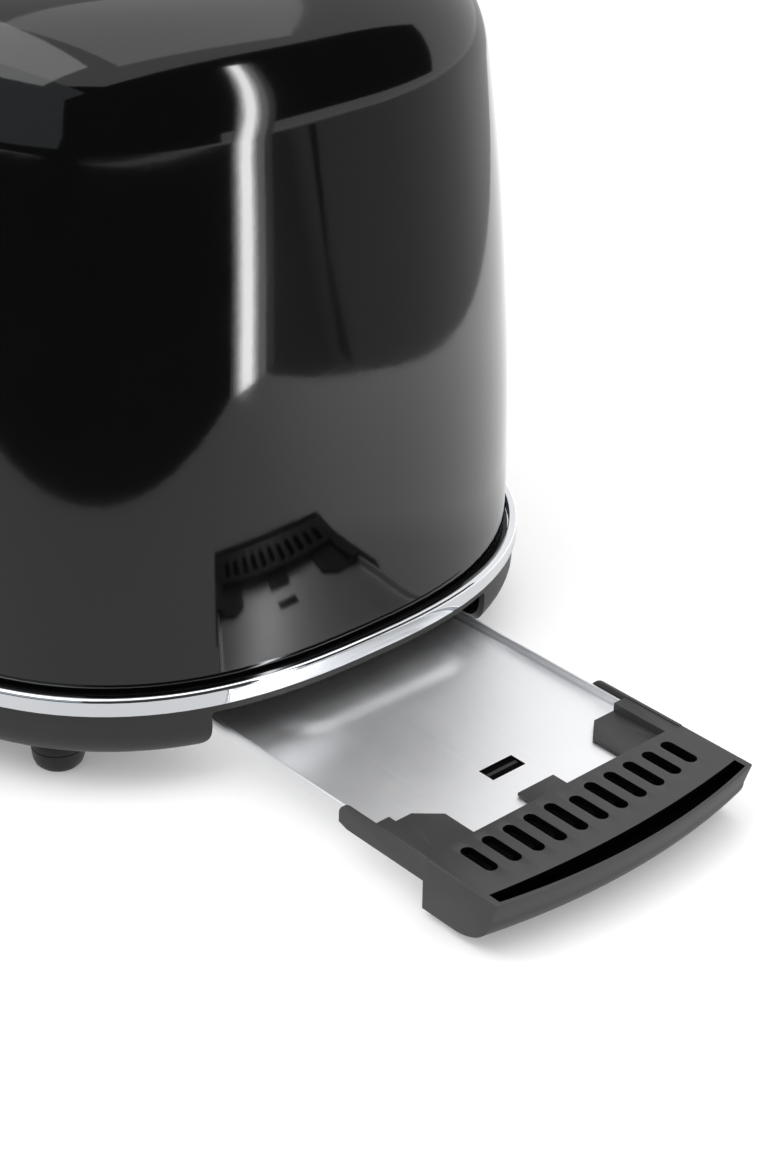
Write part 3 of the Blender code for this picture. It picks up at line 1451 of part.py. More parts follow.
def hollow_cutters(tray):
    """The space under the handle's roof, open below."""
    half = HANDLE_WIDTH / 2 - HANDLE_SIDE_WALL
    back = -HANDLE_DEPTH + HANDLE_BACK_WALL
    roof = HANDLE_TOP_Z - HANDLE_ROOF
    step_z = (HANDLE_LIP_Z + HANDLE_BOTTOM_Z) / 2 + CUT_OVERLAP
    upper_front = -VENT_FRONT - front_arc(half) + 0.0008
    lower_front = -HANDLE_NOSE_DEPTH - front_arc(half) - HANDLE_SIDE_WALL
    upper = box("handle_hollow", (back, -half, step_z), (upper_front, half, roof), parent=tray)
    lower = box(
        "handle_mouth",
        (back, -half, HANDLE_BOTTOM_Z - 0.002),
        (lower_front, half, step_z + CUT_OVERLAP),
        parent=tray,
    )
    return [upper, lower]


def side_wing(tray, side, sign):
    """One side of the handle: outer arm, cap over the pan's wall and tab on its floor."""
    outer = HANDLE_WIDTH / 2
    lap = HANDLE_BACK_WALL / 2
    front = -HANDLE_DEPTH + lap
    back = -HANDLE_DEPTH - ARM_LENGTH
    low = ARM_BOTTOM_Z
    outline = [(front, low), (front, ARM_TOP_Z)]
    centre = (back + ARM_CORNER_RADIUS, ARM_TOP_Z - ARM_CORNER_RADIUS)
    outline += arc_points(centre, ARM_CORNER_RADIUS, pi / 2, pi, 4)
    outline += [(back, low + ARM_CHAMFER * 0.3), (back + ARM_CHAMFER, low)]
    arm_y = sign * (outer - ARM_THICKNESS / 2)
    arm = flat("arm_" + side, [outline], ARM_THICKNESS, "XZ", (0, arm_y, 0), parent=tray)
    cap_back = -HANDLE_DEPTH - RAIL_CAP_LENGTH
    ys = sorted((sign * RAIL_CAP_INNER_Y, sign * (outer - ARM_THICKNESS / 2)))
    cap = box(
        "rail_cap_" + side,
        (cap_back, ys[0], TAB_BOTTOM_Z),
        (front, ys[1], RAIL_CAP_TOP_Z),
        parent=tray,
    )
    lap_y = RAIL_CAP_INNER_Y + 0.0008
    tab_outline = [
        (cap_back, lap_y),
        (front, lap_y),
        (front, TAB_INNER_Y),
        (cap_back + TAB_CHAMFER, TAB_INNER_Y),
        (cap_back, TAB_REAR_INNER_Y),
    ]
    tab_outline = [(x, sign * y) for x, y in tab_outline]
    tab_z = TAB_BOTTOM_Z + TAB_THICKNESS / 2
    tab = flat("tab_" + side, [tab_outline], TAB_THICKNESS, "XY", (0, 0, tab_z), parent=tray)
    wall_low = PAN_WIDTH / 2 - PAN_RIM - GAP
    wall_ys = sorted((sign * wall_low, sign * (outer - ARM_THICKNESS)))
    wall_slot = box(
        "wall_slot_" + side,
        (cap_back - CUT_OVERLAP, wall_ys[0], PAN_BOTTOM_Z),
        (-HANDLE_DEPTH, wall_ys[1], PAN_BOTTOM_Z + PAN_HEIGHT + GAP),
        parent=tray,
    )
    return [as_mesh(arm), cap, as_mesh(tab)], wall_slot


def make_tray_handle(tray):
    """Handle moulding: vented block with a finger groove, arms, caps and tabs."""
    handle = handle_body(tray)
    for cutter in hollow_cutters(tray):
        cut(handle, cutter)
    for cutter in vent_cutters(tray):
        cut(handle, cutter)
    cut(handle, groove_cutter(tray))
    for side, sign in (("left", 1), ("right", -1)):
        pieces, wall_slot = side_wing(tray, side, sign)
        for piece in pieces:
            join(handle, piece)
        cut(handle, wall_slot)
    centre_tab = box(
        "centre_tab",
        (-HANDLE_DEPTH - CENTRE_TAB_LENGTH, -CENTRE_TAB_WIDTH / 2, TAB_BOTTOM_Z),
        (-HANDLE_DEPTH + HANDLE_BACK_WALL / 2, CENTRE_TAB_WIDTH / 2, TAB_BOTTOM_Z + TAB_THICKNESS),
        parent=tray,
    )
    join(handle, centre_tab)
    smooth(handle)


# ---------------------------------------------------------------- build
clear_scene()
parts = new_collection("pop_up_toaster")
cutters = new_collection("cutters")
PAINT = make_material("black_gloss_paint", (0.012, 0.012, 0.013), 0.12)
CHROME = make_material("polished_chrome", (0.78, 0.80, 0.82), 0.08, 1.0)
PLASTIC = make_material("charcoal_plastic", (0.075, 0.077, 0.082), 0.48)
DARK_PLASTIC = make_material("black_plastic", (0.01, 0.01, 0.01), 0.5)
RUBBER = make_material("foot_rubber", (0.02, 0.02, 0.021), 0.8)
BRUSHED = make_material("brushed_steel", (0.60, 0.60, 0.61), 0.32, 1.0)
STEEL = make_material("sheet_steel", (0.52, 0.53, 0.54), 0.38, 1.0)
WIRE = make_material("plated_wire", (0.62, 0.62, 0.60), 0.30, 1.0)
MICA = make_material("mica_board", (0.62, 0.56, 0.44), 0.6)
NICHROME = make_material("nichrome_wire", (0.35, 0.30, 0.27), 0.4, 1.0)
COPPER = make_material("copper_winding", (0.72, 0.36, 0.18), 0.35, 1.0)
BOARD_GREEN = make_material("circuit_board_green", (0.03, 0.16, 0.07), 0.45)

body = None
body = empty_at("body_frame", (BODY_X, 0, 0))
make_base_skirt()
make_chrome_ring()
make_base_collar()
make_outer_shell()
make_top_panel()
make_bottom_plate()
make_feet()
make_cord_gland()
make_screws()
make_chassis()
make_elements()
for guide_name, guide_y in GUIDE_YS.items():
    make_bread_guide(guide_name, guide_y)
make_carriage(empty_at("carriage_frame", (0, 0, 0), body))
make_return_spring()
make_magnet()
make_control_panel()
make_buttons()
make_browning_knob()
make_circuit_board()
tray_frame = empty_at("crumb_tray_frame", (TRAY_FRONT_X, 0, 0), body)
make_tray_pan(tray_frame)
make_tray_handle(tray_frame)
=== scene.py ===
"""Looks for the pop up toaster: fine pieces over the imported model, materials, floor, light and camera."""

from math import atan, cos, pi, radians, sin, sqrt

import bmesh
import bpy
from mathutils import Matrix, Vector


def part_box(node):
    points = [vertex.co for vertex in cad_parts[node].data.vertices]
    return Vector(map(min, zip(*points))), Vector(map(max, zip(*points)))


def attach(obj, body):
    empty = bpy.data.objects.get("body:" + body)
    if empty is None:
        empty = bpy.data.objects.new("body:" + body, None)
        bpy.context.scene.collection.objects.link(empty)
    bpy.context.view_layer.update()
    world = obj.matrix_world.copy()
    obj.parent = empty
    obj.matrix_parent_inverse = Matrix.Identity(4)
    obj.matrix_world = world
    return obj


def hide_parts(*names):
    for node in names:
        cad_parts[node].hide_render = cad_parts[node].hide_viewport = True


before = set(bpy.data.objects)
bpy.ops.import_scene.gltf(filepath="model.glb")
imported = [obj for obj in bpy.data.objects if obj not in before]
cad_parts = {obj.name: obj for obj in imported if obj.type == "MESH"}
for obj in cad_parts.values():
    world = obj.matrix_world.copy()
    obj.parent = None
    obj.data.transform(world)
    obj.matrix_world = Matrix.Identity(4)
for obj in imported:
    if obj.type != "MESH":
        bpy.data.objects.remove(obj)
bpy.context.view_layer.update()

# ---------------------------------------------------------------- sizes shared with the CAD, metres
BODY_X = -0.0394565
TRAY_X = 0.2484 + BODY_X
HALF_LENGTH = 0.152
HALF_WIDTH = 0.1005
CAP_LENGTH = 0.1085
CROSS = 2.55
LONG = 2.65
LEAN_START = 0.044
LEAN = 0.57
SHOULDER_Z = 0.164
SHOULDER_RADIUS = 0.036
SHELL_BOTTOM = 0.0285
SHELL_INSET = 0.0034
GAP = 0.0003
SLOT_Y = 0.027
SHEET_STEP = 0.0017
CORD_Z = 0.018
KNOB_Z = 0.068
BUTTON_Z = 0.0445
BUTTON_PITCH = 0.015
PANEL_Z = 0.098
PANEL_LIFT = 0.0012
FEET = (0.110, 0.0706)
CHASSIS_SCREWS = (0.090, 0.057)
BASE_SCREWS = (0.040, 0.0765)
ROOM = "housing"
TRAY = "crumb_tray"
CARRIAGE = "lever_carriage"


# ---------------------------------------------------------------- materials
def principled(name, colour, roughness, metallic=0.0):
    material = bpy.data.materials.new(name)
    material.use_nodes = True
    shader = material.node_tree.nodes["Principled BSDF"]
    shader.inputs["Base Color"].default_value = (*colour, 1)
    shader.inputs["Roughness"].default_value = roughness
    shader.inputs["Metallic"].default_value = metallic
    material.diffuse_color = (*colour, 1)
    return material, material.node_tree, shader


def coordinates(tree, scale=(1, 1, 1), rotation=(0, 0, 0)):
    """Object coordinates in metres, stretched so that one unit is the pattern's grain."""
    place = tree.nodes.new("ShaderNodeTexCoord")
    mapping = tree.nodes.new("ShaderNodeMapping")
    mapping.inputs["Scale"].default_value = scale
    mapping.inputs["Rotation"].default_value = rotation
    tree.links.new(place.outputs["Object"], mapping.inputs["Vector"])
    return mapping.outputs["Vector"]


def noise(tree, vector, scale, detail=4.0, rough=0.55, distortion=0.0):
    node = tree.nodes.new("ShaderNodeTexNoise")
    node.inputs["Scale"].default_value = scale
    node.inputs["Detail"].default_value = detail
    node.inputs["Roughness"].default_value = rough
    node.inputs["Distortion"].default_value = distortion
    tree.links.new(vector, node.inputs["Vector"])
    return node.outputs["Fac"]


def ramp(tree, value, stops):
    node = tree.nodes.new("ShaderNodeValToRGB")
    elements = node.color_ramp.elements
    while len(elements) < len(stops):
        elements.new(0.5)
    for element, (position, colour) in zip(elements, stops):
        element.position = position
        element.color = (*colour, 1) if len(colour) == 3 else colour
    tree.links.new(value, node.inputs["Fac"])
    return node.outputs["Color"]


def spread(tree, value, low, high, from_low=0.0, from_high=1.0):
    """The value moved from its own range to low..high."""
    node = tree.nodes.new("ShaderNodeMapRange")
    node.inputs["From Min"].default_value = from_low
    node.inputs["From Max"].default_value = from_high
    node.inputs["To Min"].default_value = low
    node.inputs["To Max"].default_value = high
    tree.links.new(value, node.inputs["Value"])
    return node.outputs["Result"]


def maths(tree, operation, first, second):
    node = tree.nodes.new("ShaderNodeMath")
    node.operation = operation
    for socket, value in zip(node.inputs, (first, second)):
        if isinstance(value, (int, float)):
            socket.default_value = value
        else:
            tree.links.new(value, socket)
    return node.outputs["Value"]


def bump(tree, shader, height, strength, distance, after=None):
    node = tree.nodes.new("ShaderNodeBump")
    node.inputs["Strength"].default_value = strength
    node.inputs["Distance"].default_value = distance
    tree.links.new(height, node.inputs["Height"])
    if after is not None:
        tree.links.new(after, node.inputs["Normal"])
    tree.links.new(node.outputs["Normal"], shader.inputs["Normal"])
    return node.outputs["Normal"]


def gloss_paint():
    """Stoved black enamel: a clear mirror skin with a very faint orange peel and dust of handling."""
    material, tree, shader = principled("gloss_paint", (0.0014, 0.0014, 0.0015), 0.07)
    here = coordinates(tree)
    tint = noise(tree, here, 9.0, 3.0)
    colour = ramp(tree, tint, [(0.3, (0.0009, 0.0009, 0.0010)), (0.7, (0.0018, 0.0018, 0.0019))])
    tree.links.new(colour, shader.inputs["Base Color"])
    smear = noise(tree, here, 22.0, 5.0, 0.6)
    tree.links.new(spread(tree, smear, 0.055, 0.105, 0.35, 0.75), shader.inputs["Roughness"])
    peel = noise(tree, here, 330.0, 2.0, 0.45)
    bump(tree, shader, peel, 0.06, 0.00010)
    shader.inputs["IOR"].default_value = 1.50
    shader.inputs["Coat Weight"].default_value = 0.15
    shader.inputs["Coat Roughness"].default_value = 0.02
    return material


def polished_chrome():
    material, tree, shader = principled("polished_chrome", (0.81, 0.83, 0.86), 0.05, 1.0)
    here = coordinates(tree)
    haze = noise(tree, here, 35.0, 4.0)
    colour = ramp(tree, haze, [(0.35, (0.78, 0.80, 0.83)), (0.7, (0.84, 0.855, 0.88))])
    tree.links.new(colour, shader.inputs["Base Color"])
    tree.links.new(spread(tree, haze, 0.035, 0.085, 0.35, 0.75), shader.inputs["Roughness"])
    scratch = noise(tree, coordinates(tree, (60, 900, 900)), 1.0, 5.0, 0.7)
    bump(tree, shader, scratch, 0.03, 0.00004)
    return material


def brushed(name, dark, light, rough_low, rough_high, grain=(14, 900, 400), strength=0.10):
    """Steel with its grain along X, a little uneven in tone as rolled sheet is."""
    material, tree, shader = principled(name, light, rough_low, 1.0)
    grain_at = coordinates(tree, grain)
    lines = noise(tree, grain_at, 1.0, 6.0, 0.65)
    cloud = noise(tree, coordinates(tree), 24.0, 4.0, 0.6)
    both = maths(tree, "ADD", maths(tree, "MULTIPLY", lines, 0.45), maths(tree, "MULTIPLY", cloud, 0.55))
    tree.links.new(ramp(tree, both, [(0.36, dark), (0.64, light)]), shader.inputs["Base Color"])
    tree.links.new(spread(tree, both, rough_low, rough_high, 0.35, 0.65), shader.inputs["Roughness"])
    bump(tree, shader, lines, strength, 0.00006)
    return material


def tray_steel():
    """Satin tinplate of the pan: soft rolling grain, fine speckle and a few crumbs' scratches."""
    material, tree, shader = principled("tray_steel", (0.93, 0.935, 0.95), 0.44, 1.0)
    here = coordinates(tree)
    lines = noise(tree, coordinates(tree, (25, 700, 300)), 1.0, 6.0, 0.7)
    speck = noise(tree, here, 950.0, 3.0, 0.7)
    cloud = noise(tree, here, 17.0, 4.0, 0.6)
    tone = maths(tree, "ADD", maths(tree, "MULTIPLY", lines, 0.35), maths(tree, "MULTIPLY", cloud, 0.45))
    tone = maths(tree, "ADD", tone, maths(tree, "MULTIPLY", speck, 0.20))
    colour = ramp(tree, tone, [(0.36, (0.93, 0.935, 0.96)), (0.64, (0.98, 0.98, 0.985))])
    tree.links.new(colour, shader.inputs["Base Color"])
    tree.links.new(spread(tree, tone, 0.40, 0.50, 0.35, 0.65), shader.inputs["Roughness"])
    first = bump(tree, shader, lines, 0.05, 0.00004)
    scratch = noise(tree, coordinates(tree, (30, 1400, 600), (0, 0, radians(7))), 1.0, 2.0, 0.8)
    bump(tree, shader, ramp(tree, scratch, [(0.70, (0, 0, 0)), (0.74, (1, 1, 1))]), 0.05, 0.00003, first)
    return material


def moulded(name, dark, light, rough_low, rough_high, grain=2600.0, strength=0.28, depth=0.00005):
    """Moulded plastic: fine spark texture, slight tone drift and polish where hands rub."""
    material, tree, shader = principled(name, light, rough_low)
    here = coordinates(tree)
    cells = tree.nodes.new("ShaderNodeTexVoronoi")
    cells.inputs["Scale"].default_value = grain
    tree.links.new(here, cells.inputs["Vector"])
    soft = noise(tree, here, grain * 0.6, 3.0, 0.6)
    texture = maths(tree, "ADD", maths(tree, "MULTIPLY", cells.outputs["Distance"], 0.6), soft)
    drift = noise(tree, here, 30.0, 4.0, 0.6)
    tree.links.new(ramp(tree, drift, [(0.32, dark), (0.68, light)]), shader.inputs["Base Color"])
    tree.links.new(spread(tree, drift, rough_low, rough_high, 0.3, 0.7), shader.inputs["Roughness"])
    bump(tree, shader, texture, strength, depth)
    return material


def rubber():
    material, tree, shader = principled("rubber", (0.004, 0.004, 0.004), 0.62)
    here = coordinates(tree)
    dust = noise(tree, here, 180.0, 5.0, 0.7)
    colour = ramp(tree, dust, [(0.4, (0.002, 0.002, 0.002)), (0.75, (0.006, 0.006, 0.006))])
    tree.links.new(colour, shader.inputs["Base Color"])
    tree.links.new(spread(tree, dust, 0.50, 0.70, 0.3, 0.7), shader.inputs["Roughness"])
    bump(tree, shader, noise(tree, here, 1500.0, 3.0), 0.25, 0.00004)
    return material


def mica():
    """Pressed mica: overlapping flakes that catch the light, with darker binder between."""
    material, tree, shader = principled("mica", (0.62, 0.56, 0.44), 0.45)
    here = coordinates(tree, (1, 1, 0.7))
    flakes = tree.nodes.new("ShaderNodeTexVoronoi")
    flakes.inputs["Scale"].default_value = 260.0
    tree.links.new(here, flakes.inputs["Vector"])
    cloud = maths(tree, "MULTIPLY", noise(tree, here, 40.0), 0.6)
    tone = maths(tree, "ADD", cloud, flakes.outputs["Distance"])
    colour = ramp(tree, tone, [(0.3, (0.40, 0.33, 0.22)), (0.9, (0.72, 0.66, 0.52))])
    tree.links.new(colour, shader.inputs["Base Color"])
    tree.links.new(spread(tree, flakes.outputs["Distance"], 0.25, 0.6), shader.inputs["Roughness"])
    bump(tree, shader, flakes.outputs["Distance"], 0.3, 0.0001)
    return material


def hot_wire():
    """Resistance wire, blued and browned unevenly by heat."""
    material, tree, shader = principled("hot_wire", (0.35, 0.30, 0.27), 0.45, 1.0)
    here = coordinates(tree)
    heat = noise(tree, here, 60.0, 3.0)
    stops = [(0.35, (0.20, 0.17, 0.18)), (0.5, (0.34, 0.27, 0.22)), (0.68, (0.42, 0.38, 0.35))]
    tree.links.new(ramp(tree, heat, stops), shader.inputs["Base Color"])
    tree.links.new(spread(tree, heat, 0.35, 0.6), shader.inputs["Roughness"])
    bump(tree, shader, noise(tree, here, 2400.0), 0.2, 0.00003)
    return material


def copper():
    """Enamelled copper: the turns show as fine level bands."""
    material, tree, shader = principled("copper_coil", (0.72, 0.34, 0.16), 0.28, 1.0)
    here = coordinates(tree)
    turns = tree.nodes.new("ShaderNodeTexWave")
    turns.bands_direction = "Z"
    turns.inputs["Scale"].default_value = 620.0
    turns.inputs["Distortion"].default_value = 0.6
    turns.inputs["Detail Scale"].default_value = 2.0
    tree.links.new(here, turns.inputs["Vector"])
    colour = ramp(tree, turns.outputs["Fac"], [(0.1, (0.30, 0.10, 0.04)), (0.7, (0.80, 0.40, 0.19))])
    tree.links.new(colour, shader.inputs["Base Color"])
    tree.links.new(spread(tree, noise(tree, here, 90.0), 0.2, 0.4), shader.inputs["Roughness"])
    bump(tree, shader, turns.outputs["Fac"], 0.6, 0.0002)
    return material


def circuit_green():
    """Lacquered board: copper tracks as slightly raised, lighter bands."""
    material, tree, shader = principled("circuit_green", (0.02, 0.14, 0.06), 0.35)
    here = coordinates(tree, (1, 1, 1), (0, radians(90), 0))
    tracks = tree.nodes.new("ShaderNodeTexBrick")
    tracks.inputs["Scale"].default_value = 260.0
    tracks.inputs["Mortar Size"].default_value = 0.07
    tracks.inputs["Color1"].default_value = (0.012, 0.10, 0.04, 1)
    tracks.inputs["Color2"].default_value = (0.018, 0.13, 0.055, 1)
    tracks.inputs["Mortar"].default_value = (0.05, 0.26, 0.11, 1)
    tree.links.new(here, tracks.inputs["Vector"])
    tree.links.new(tracks.outputs["Color"], shader.inputs["Base Color"])
    tree.links.new(spread(tree, noise(tree, here, 70.0), 0.25, 0.45), shader.inputs["Roughness"])
    bump(tree, shader, tracks.outputs["Fac"], 0.4, 0.00005)
    return material


def printed_white():
    material, tree, shader = principled("printed_white", (0.75, 0.76, 0.76), 0.5)
    here = coordinates(tree)
    wear = noise(tree, here, 900.0, 4.0, 0.7)
    colour = ramp(tree, wear, [(0.3, (0.52, 0.53, 0.53)), (0.6, (0.80, 0.81, 0.80))])
    tree.links.new(colour, shader.inputs["Base Color"])
    tree.links.new(spread(tree, wear, 0.4, 0.65), shader.inputs["Roughness"])
    bump(tree, shader, wear, 0.15, 0.00002)
    return material


def floor_paper():
    material, tree, shader = principled("floor_paper", (0.90, 0.90, 0.90), 0.75)
    here = coordinates(tree)
    fibre = noise(tree, here, 14.0, 4.0)
    colour = ramp(tree, fibre, [(0.3, (0.885, 0.885, 0.885)), (0.7, (0.905, 0.905, 0.905))])
    tree.links.new(colour, shader.inputs["Base Color"])
    shader.inputs["Specular IOR Level"].default_value = 0.1
    shader.inputs["Emission Color"].default_value = (1, 1, 1, 1)
    shader.inputs["Emission Strength"].default_value = 0.16
    return material


PAINT = gloss_paint()
CHROME = polished_chrome()
CHARCOAL = moulded("charcoal_moulding", (0.032, 0.032, 0.033), (0.041, 0.041, 0.042), 0.50, 0.60)
BASE_MOULDING = moulded("base_moulding", (0.012, 0.012, 0.0125), (0.019, 0.019, 0.0195), 0.46, 0.58)
# Painted shade: a near-black, barely reflecting colour laid on the walls of cut hollows, grooves, vents and
# the pan's window so that they read as deep shade.
SHADOW = moulded("shadow_moulding", (0.0004, 0.0004, 0.0004), (0.0009, 0.0009, 0.0009), 0.80, 0.90)
SHADOW.node_tree.nodes["Principled BSDF"].inputs["Specular IOR Level"].default_value = 0.05
BLACK = moulded("black_moulding", (0.007, 0.007, 0.007), (0.011, 0.011, 0.011), 0.45, 0.58)
RUBBER = rubber()
PAN_STEEL = tray_steel()
TOP_STEEL = brushed("top_steel", (0.50, 0.51, 0.53), (0.64, 0.65, 0.67), 0.22, 0.32)
SHEET = brushed("mill_sheet", (0.42, 0.43, 0.44), (0.56, 0.57, 0.58), 0.30, 0.46, (40, 300, 300), 0.06)
REFLECTOR = brushed("bright_reflector", (0.66, 0.67, 0.68),
                    (0.80, 0.80, 0.81), 0.14, 0.26, (20, 20, 500), 0.05)
WIRE = brushed("plated_wire", (0.50, 0.50, 0.49), (0.68, 0.68, 0.66), 0.20, 0.34, (300, 300, 300), 0.05)
MICA = mica()
HOT_WIRE = hot_wire()
COPPER = copper()
GREEN = circuit_green()
PRINT = printed_white()


# ---------------------------------------------------------------- mesh helpers
def object_of(name, builder, material, at=(BODY_X, 0, 0)):
    bmesh.ops.translate(builder, verts=builder.verts, vec=Vector(at))
    mesh = bpy.data.meshes.new(name)
    builder.to_mesh(mesh)
    builder.free()
    obj = bpy.data.objects.new(name, mesh)
    bpy.context.scene.collection.objects.link(obj)
    if material is not None:
        mesh.materials.append(material)
    return obj


def smooth(obj, angle=32):
    obj.data.shade_smooth()
    obj.data.set_sharp_from_angle(angle=radians(angle))
    return obj


def evaluated(obj):
    """The object's mesh as its modifiers or curve settings make it."""
    bpy.context.view_layer.update()
    graph = bpy.context.evaluated_depsgraph_get()
    return bpy.data.meshes.new_from_object(obj.evaluated_get(graph))


def surface_of(curve):
    """A builder that holds the surface of a curve or a text."""
    source = bpy.data.objects.new(curve.name, curve)
    bpy.context.scene.collection.objects.link(source)
    mesh = evaluated(source)
    bpy.data.objects.remove(source, do_unlink=True)
    builder = bmesh.new()
    builder.from_mesh(mesh)
    bpy.data.meshes.remove(mesh)
    return builder


def bridged(builder, loops, closed=False, capped=False):
    """Faces from each loop of vertices to the next, facing outwards, with end faces if capped."""
    pairs = list(zip(loops, loops[1:]))
    if closed:
        pairs.append((loops[-1], loops[0]))
    for first, second in pairs:
        for i in range(len(first)):
            j = (i + 1) % len(first)
            builder.faces.new((first[i], first[j], second[j], second[i]))
    if capped:
        builder.faces.new(loops[0])
        builder.faces.new(loops[-1])
    bmesh.ops.recalc_face_normals(builder, faces=builder.faces)


def applied(obj):
    """The object with its modifiers applied."""
    mesh = evaluated(obj)
    old = obj.data
    obj.modifiers.clear()
    obj.data = mesh
    mesh.name = obj.name
    bpy.data.meshes.remove(old)
    return obj


def boolean(obj, others, operation="DIFFERENCE"):
    for other in others:
        modifier = obj.modifiers.new(other.name, "BOOLEAN")
        modifier.operation = operation
        modifier.object = other
        modifier.solver = "EXACT"
        modifier.material_mode = "TRANSFER"
    applied(obj)
    for other in others:
        bpy.data.objects.remove(other, do_unlink=True)
    return obj


def softened(obj, width, segments=2, angle=40):
    """Small rounded edges, as a moulding or a folded sheet has."""
    modifier = obj.modifiers.new("rounded_edges", "BEVEL")
    modifier.width = width
    modifier.segments = segments
    modifier.limit_method = "ANGLE"
    modifier.angle_limit = radians(angle)
    modifier.use_clamp_overlap = True
    modifier.harden_normals = False
    return applied(obj)


def joined(name, objects):
    """One object out of several, keeping each one's material."""
    target = objects[0]
    with bpy.context.temp_override(
        active_object=target, object=target, selected_objects=objects, selected_editable_objects=objects
    ):
        bpy.ops.object.join()
    target.name = name
    target.data.name = name
    return target


def place(piece, body, slot, *nodes):
    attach(piece, body)
    if nodes:
        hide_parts(*nodes)
    return piece


def strip_box(name, low, high, material=None, at=(BODY_X, 0, 0)):
    centre = [(a + b) / 2 for a, b in zip(low, high)]
    size = [b - a for a, b in zip(low, high)]
    builder = bmesh.new()
    matrix = Matrix.Translation(centre) @ Matrix.Diagonal((*size, 1))
    bmesh.ops.create_cube(builder, size=1, matrix=matrix)
    return object_of(name, builder, material, at)


def outline(inset, steps=48, half_length=HALF_LENGTH, half_width=HALF_WIDTH):
    """The body's outline in plan, moved inwards by the inset."""
    cap = CAP_LENGTH - inset
    half = half_width - inset
    straight = half_length - CAP_LENGTH
    points = []
    for end in (1, -1):
        for i in range(steps + 1):
            t = pi * (i / steps - 0.5)
            x = cap * abs(cos(t)) ** (2 / LONG)
            y = half * abs(sin(t)) ** (2 / CROSS)
            points.append((end * (straight + x), end * (y if t > 0 else -y)))
    return points


def wrapped(name, section, material, steps=48):
    """A closed section of (inset, z) points carried round the body's outline."""
    builder = bmesh.new()
    rings = [[builder.verts.new((x, y, z)) for x, y in outline(inset, steps)] for inset, z in section]
    bridged(builder, rings, closed=True)
    return object_of(name, builder, material)


def prism(name, loops, low, high, plane="XY", material=None, at=(BODY_X, 0, 0)):
    """Closed outlines, the later ones as holes, extruded between two levels along their plane's normal."""
    curve = bpy.data.curves.new(name, "CURVE")
    curve.dimensions = "2D"
    curve.fill_mode = "BOTH"
    curve.extrude = (high - low) / 2
    for loop in loops:
        spline = curve.splines.new("POLY")
        spline.points.add(len(loop) - 1)
        for point, (x, y) in zip(spline.points, loop):
            point.co = (x, y, 0, 1)
        spline.use_cyclic_u = True
    builder = surface_of(curve)
    bmesh.ops.remove_doubles(builder, verts=builder.verts, dist=0.000001)
    middle = (low + high) / 2
    for vertex in builder.verts:
        x, y, z = vertex.co
        if plane == "XY":
            vertex.co = (x, y, z + middle)
        elif plane == "XZ":
            vertex.co = (x, z + middle, y)
        else:
            vertex.co = (z + middle, x, y)
    bmesh.ops.recalc_face_normals(builder, faces=builder.faces)
    return object_of(name, builder, material, at)


def arc(centre, radius, start, end, steps):
    angles = [start + (end - start) * i / steps for i in range(steps + 1)]
    return [(centre[0] + radius * cos(a), centre[1] + radius * sin(a)) for a in angles]


def rounded(width, height, radius, steps=12, centre=(0, 0)):
    points = []
    for corner in range(4):
        x = (width / 2 - radius) * (1 if corner in (0, 3) else -1)
        y = (height / 2 - radius) * (1 if corner in (0, 1) else -1)
        points += arc((x + centre[0], y + centre[1]), radius, pi / 2 * corner, pi / 2 * (corner + 1), steps)
    return points


def lathe(name, profile, material, place_at, along_x=False, steps=48, ripple=None):
    """A turned solid: (radius, height) points about Z, or about -X when along_x."""
    builder = bmesh.new()
    rings = []
    for index, (radius, height) in enumerate(profile):
        if radius < 1e-7:
            rings.append([builder.verts.new((0, 0, height))])
            continue
        ring = []
        for i in range(steps):
            angle = 2 * pi * i / steps
            r = radius - (ripple(index, angle) if ripple else 0)
            ring.append(builder.verts.new((r * cos(angle), r * sin(angle), height)))
        rings.append(ring)
    pairs = list(zip(rings, rings[1:]))
    if len(rings[0]) > 1 and len(rings[-1]) > 1:
        pairs.append((rings[-1], rings[0]))
    for first, second in pairs:
        for i in range(steps):
            j = (i + 1) % steps
            a = [first[i % len(first)], first[j % len(first)]]
            b = [second[j % len(second)], second[i % len(second)]]
            corners = []
            for vertex in a + b:
                if vertex not in corners:
                    corners.append(vertex)
            if len(corners) > 2:
                builder.faces.new(corners)
    if along_x:
        for vertex in builder.verts:
            x, y, z = vertex.co
            vertex.co = (-z, x, y)
    bmesh.ops.recalc_face_normals(builder, faces=builder.faces)
    return smooth(object_of(name, builder, material, place_at))


def rod(name, points, radius, material, at=(BODY_X, 0, 0), cyclic=False, sides=4):
    """A bent round wire through the points, as a mesh."""
    curve = bpy.data.curves.new(name, "CURVE")
    curve.dimensions = "3D"
    curve.bevel_depth = radius
    curve.bevel_resolution = sides
    curve.use_fill_caps = not cyclic
    spline = curve.splines.new("POLY")
    spline.points.add(len(points) - 1)
    for point, where in zip(spline.points, points):
        point.co = (*where, 1)
    spline.use_cyclic_u = cyclic
    return smooth(object_of(name, surface_of(curve), material, at), 50)


def rounded_path(corners, radius, steps=5):
    """A polyline with each inner corner turned into an arc."""
    points = [Vector(corners[0])]
    for before, here, after in zip(corners, corners[1:], corners[2:]):
        here = Vector(here)
        a = (Vector(before) - here).normalized()
        b = (Vector(after) - here).normalized()
        half = a.angle(b) / 2
        reach = radius / max(0.05, abs(sin(half) / cos(half))) if cos(half) > 1e-6 else 0
        start, end = here + a * reach, here + b * reach
        for i in range(steps + 1):
            t = i / steps
            points.append(start * (1 - t) ** 2 + here * 2 * t * (1 - t) + end * t * t)
    points.append(Vector(corners[-1]))
    return [tuple(p) for p in points]


# ---------------------------------------------------------------- casing
def lean_inset(z):
    return SHELL_INSET + LEAN * max(z - LEAN_START, 0) ** 2


SHOULDER_START = atan(2 * LEAN * (SHOULDER_Z - LEAN_START))
SHOULDER_END = radians(84)


